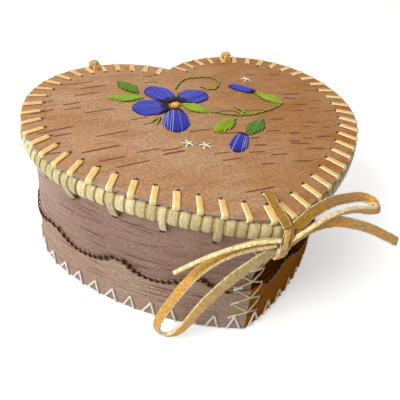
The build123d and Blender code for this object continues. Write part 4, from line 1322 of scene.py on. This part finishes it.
def dark_feet(runs, dark_share):
    """Short dark quills at the foot of a petal's quills, on each and between two, longest in the middle."""
    uneven = (1.0, 0.35, 0.7, 0.5, 0.85, 0.3)
    feet = []
    for number in range(2 * len(runs) - 1):
        foot, crown, lift = runs[number // 2]
        next_foot, next_crown, next_lift = runs[(number + 1) // 2]
        foot, crown = foot.lerp(next_foot, 0.5), crown.lerp(next_crown, 0.5)
        side = abs(number / (len(runs) - 1) - 1)
        share = dark_share * (1 - 0.7 * side) * uneven[number % len(uneven)]
        feet.append((foot, foot.lerp(crown, share), lift + 0.3 * MM))
    return feet


def plaited(shares, lean):
    """Short quills laid along a curve, leaning to either side in turn."""
    pace, reach = 2.2 * MM, 0.62
    points = curve_points([lid_spot(share) for share in shares], resolution=24)
    total = line_length(points)
    count = int(total / pace)
    runs, walked, number = [], 0.0, 0
    for before, after in zip(points, points[1:]):
        walked += (after - before).length
        if walked >= (number + 0.5) * total / count:
            turn = Matrix.Rotation(radians(lean if number % 2 else -lean), 3, "Z")
            way = turn @ (after - before).normalized()
            runs.append((after - way * pace * reach, after + way * pace * reach, 0.1 * MM * (number % 3)))
            number += 1
    return runs


class BASKET_OT_petals(bpy.types.Operator):
    """Lays the quills of the flower's petals and the two buds, with their dark feet."""
    bl_idname = "basket.petals"
    bl_label = "Petals and buds"

    def execute(self, context):
        colours = settings()[1]
        violet = quill_material("violet_quill", colours.violet, paint(28, 30, 112), 0.3)
        # Violet quills with a strong painted highlight along each crown
        highlit = quill_material("highlit_violet_quill", paint(44, 50, 168), paint(16, 20, 96), 0.95)
        dark = quill_material("dark_quill", paint(30, 24, 40), paint(12, 10, 16), 0.05)
        # Node, foot, crown and breadth as shares of half the lid's width, spacing in millimetres, dye, and
        # how far the dark feet reach as a share of a quill
        petal_shares = [
            ("petal_left", (-0.176, -0.088), (-0.392, -0.052), 0.196, 1.0, violet, 0.42),
            ("petal_upper_left", (-0.138, -0.032), (-0.216, 0.200), 0.168, 1.0, violet, 0.42),
            ("petal_upper_right", (-0.092, -0.042), (0.112, 0.064), 0.180, 1.0, violet, 0.38),
            ("petal_lower", (-0.146, -0.120), (-0.226, -0.370), 0.155, 1.0, highlit, 0.1),
            ("bud_upper", (0.436, -0.013), (0.307, 0.122), 0.090, 0.9, violet, 0.3),
            ("bud_lower", (0.132, -0.470), (0.012, -0.630), 0.096, 1.0, highlit, 0.12),
        ]
        outline = (0.06, 1.3, 0.6)
        for name, foot, crown, breadth, spacing, dye, dark_share in petal_shares:
            runs = laid_in(lid_spot(foot), lid_spot(crown), breadth * HALF_WIDTH, spacing * MM, outline,
                           fan=radians(7), crown=0.35 * MM)
            lay_quills(name + "_quills", runs, dye, (name,), width=spacing * 0.92)
            lay_quills(name + "_foot", dark_feet(runs, dark_share), dark, width=0.55, height=0.6, tilt=6)
        return {"FINISHED"}


class BASKET_OT_leaves(bpy.types.Operator):
    """Lays the slanted quills of the six leaves."""
    bl_idname = "basket.leaves"
    bl_label = "Leaves"

    def execute(self, context):
        colours = settings()[1]
        green = quill_material("green_quill", colours.green, colours.deep_green, 0.4)
        deep = quill_material("deep_green_quill", colours.deep_green, paint(36, 74, 8), 0.6)
        # Name, foot, tip and breadth as shares of half the lid's width, slant in degrees, dye, replaced node
        leaf_shares = [
            ("leaf_beside_flower", (-0.100, -0.056), (0.042, -0.208), 0.092, 6, green, "leaf_beside_flower"),
            ("leaf_far_left", (-0.390, 0.328), (-0.302, 0.108), 0.090, -7, deep, "leaves_left"),
            ("leaf_near_left", (-0.510, 0.102), (-0.275, 0.053), 0.092, 5, green, None),
            ("leaf_lower_left", (-0.030, -0.428), (0.170, -0.294), 0.088, 1, green, "leaves_lower"),
            ("leaf_lower_right", (0.145, -0.496), (0.334, -0.331), 0.090, 1, deep, None),
            ("leaf_of_upper_bud", (0.426, -0.005), (0.549, -0.212), 0.082, -6, green, "leaf_of_upper_bud"),
        ]
        outline = (0.0, 1.0, 1.15)
        for name, foot, tip, breadth, slant, dye, node in leaf_shares:
            runs = laid_in(lid_spot(foot), lid_spot(tip), breadth * HALF_WIDTH, 1.0 * MM, outline,
                           slant=radians(slant), crown=0.2 * MM)
            replaces = (node,) if node else ()
            lay_quills(name + "_quills", runs, dye, replaces, width=0.85, height=1.2)
        return {"FINISHED"}


class BASKET_OT_stems(bpy.types.Operator):
    """Lays the plaited stem and tendril, and the sprigs."""
    bl_idname = "basket.stems"
    bl_label = "Stem, tendril and sprigs"

    def execute(self, context):
        moss = quill_material("moss_quill", paint(176, 184, 48), paint(52, 70, 12), 0.3)
        stem = [(0.046, -0.194), (0.112, -0.234), (0.193, -0.276), (0.273, -0.284), (0.369, -0.266),
                (0.477, -0.232), (0.536, -0.193)]
        lay_quills("stem_quills", plaited(stem, 14), moss, ("stem",), 0.72, 1.1, 6)
        tendril = [(-0.061, 0.130), (-0.021, 0.198), (0.053, 0.269), (0.162, 0.269), (0.248, 0.256),
                   (0.263, 0.171), (0.206, 0.083), (0.149, 0.076), (0.117, 0.129)]
        lay_quills("tendril_quills", plaited(tendril, 14), moss, ("tendril",), 0.66, 1.1, 6)
        sprigs = [((-0.258, -0.191), (-0.328, -0.231)), ((-0.263, -0.201), (-0.306, -0.261)),
                  ((0.268, -0.280), (0.215, -0.166)), ((0.225, -0.262), (0.262, -0.196)),
                  ((0.232, -0.278), (0.196, -0.212))]
        runs = [(lid_spot(start), lid_spot(end), 0.1 * MM) for start, end in sprigs]
        lay_quills("sprig_quills", runs, moss, ("sprigs",), width=0.8)
        return {"FINISHED"}


class BASKET_OT_stars(bpy.types.Operator):
    """Lays the three white stars and the flower's yellow heart."""
    bl_idname = "basket.stars"
    bl_label = "Stars and flower heart"

    def execute(self, context):
        white = quill_material("white_quill", paint(246, 242, 228), paint(214, 206, 184), 0.1)
        yellow = quill_material("yellow_quill", settings()[1].yellow, paint(196, 116, 12), 0.4)
        rays = []
        for star in ((-0.203, -0.492), (-0.120, -0.533), (0.466, 0.181)):
            centre = lid_spot(star)
            for ray in range(5):
                rays.append((centre, centre + polar(3.1 * MM, 90 + 72 * ray), 0.1 * MM * (ray % 2)))
        lay_quills("star_quills", rays, white, ("stars",), width=0.55, tilt=4)

        # Nine quills round the heart and three crossed over its middle
        heart = lid_spot((-0.134, -0.081))
        runs = []
        for number in range(9):
            way = polar(2.3 * MM, 360 * number / 9)
            runs.append((heart + way * 0.02, heart + way, 0.45 * MM))
        for angle in (20, 80, 140):
            way = polar(1.2 * MM, angle)
            runs.append((heart - way, heart + way, 0.8 * MM))
        lay_quills("flower_heart", runs, yellow, ("flower_centre",), width=1.1, height=1.6)
        return {"FINISHED"}


def tie_hinge(side, matrix, suede):
    """One hinge thong: the knot on the lid's edge and the tie behind the rim, in the hinge's own frame."""
    wide, thin = settings()[0].thong_width, 1.6 * MM

    def placed(points):
        return [matrix @ point for point in in_millimetres(points)]

    def facing(ways):
        return [matrix.to_3x3() @ Vector(way) for way in ways]

    loops = []
    for number, (turn, rise) in enumerate(((20, 0.0), (75, 0.2), (130, -0.2))):
        points, ways = [], []
        for step in range(10):
            spin = tau * step / 10
            flat = Vector((2.2 * cos(spin), 1.25 * sin(spin), 0))
            turned = Matrix.Rotation(radians(turn), 3, "Y") @ flat
            points.append(turned + Vector((-1.9, 87.0 + rise, 0)))
            ways.append(turned)
        loops.append(strap(f"hinge_wrap_{side}_{number}", placed(points), facing(ways), 2.6 * MM, 1.5 * MM,
                           suede, cyclic=True)[0])
    loops.append(strap(
        f"hinge_lead_{side}",
        placed([(-6.2, 84.6, 0), (-5.6, 86.4, 0), (-3.0, 86.8, 0), (-0.5, 86.6, 0), (1.4, 86.4, 0)]),
        facing([(-1, 0.4, 0), (-0.4, 1, 0), (0, 1, 0), (0, 1, 0), (0.3, 1, 0)]),
        wide * 0.9, thin, suede)[0])
    ride(join(f"hinge_knot_piece_{side}", loops), "lid", (f"hinge_knot_{side}",))

    tie = strap(
        f"hinge_tie_piece_{side}",
        placed([(1.2, 86.5, 0), (2.6, 86.6, 0), (2.9, 84.0, 0), (2.8, 78.0, 0), (2.7, 71.5, 0),
                (1.6, 69.7, 0), (-2.0, 69.7, 0), (-5.5, 69.8, 0)]),
        facing([(0, 1, 0), (0.6, 0.8, 0), (1, 0, 0), (1, 0, 0), (0.9, -0.2, 0), (0.2, -1, 0), (0, -1, 0),
                (0, -1, 0)]),
        wide, thin, suede)[0]
    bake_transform(tie, "basket", "lid", start=matrix @ Vector((0, 80.5 * MM, 0)),
             end=matrix @ Vector((0, 86.2 * MM, 0)))
    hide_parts(f"hinge_tie_{side}")


class BASKET_OT_hinges(bpy.types.Operator):
    """Ties the two hinge thongs, knotted on the lid and led into the wall."""
    bl_idname = "basket.hinges"
    bl_label = "Hinge thongs"

    def execute(self, context):
        suede = suede_material("hinge_suede", paint(196, 140, 62), settings()[1].leather_edge)
        cleft = heart_arcs(0, LID_SHAPE)[0][2]
        angle = degrees(acos((HINGE_X - LOBE_X) / LOBE_RADIUS))
        right = rim_frame(0, LOBE_RADIUS * radians(cleft - angle), 0.0)
        tie_hinge("right", right, suede)
        tie_hinge("left", mirrored(right), suede)
        return {"FINISHED"}


STEPS = (BASKET_OT_stage, BASKET_OT_bow, BASKET_OT_bark, BASKET_OT_rim, BASKET_OT_lid_stitches,
         BASKET_OT_wall_stitches, BASKET_OT_petals, BASKET_OT_leaves, BASKET_OT_stems, BASKET_OT_stars,
         BASKET_OT_hinges)


class BASKET_PT_panel(bpy.types.Panel):
    """Shows a button for each step, and the basket's sizes and colours."""
    bl_idname = "BASKET_PT_panel"
    bl_label = "Bark basket"
    bl_space_type = "VIEW_3D"
    bl_region_type = "UI"
    bl_category = "Basket"

    def draw(self, context):
        for step in STEPS:
            self.layout.operator(step.bl_idname)
        for values in settings():
            box = self.layout.box()
            for name in values.__annotations__:
                box.prop(values, name)


CLASSES = (BasketSizes, BasketColours, *STEPS, BASKET_PT_panel)


def register():
    for item in CLASSES:
        bpy.utils.register_class(item)
    bpy.types.Scene.basket_sizes = PointerProperty(type=BasketSizes)
    bpy.types.Scene.basket_colours = PointerProperty(type=BasketColours)


def unregister():
    del bpy.types.Scene.basket_colours
    del bpy.types.Scene.basket_sizes
    for item in reversed(CLASSES):
        bpy.utils.unregister_class(item)


def main():
    register()
    for step in STEPS:
        family, name = step.bl_idname.split(".")
        getattr(getattr(bpy.ops, family), name)()


if __name__ == "__main__":
    main()
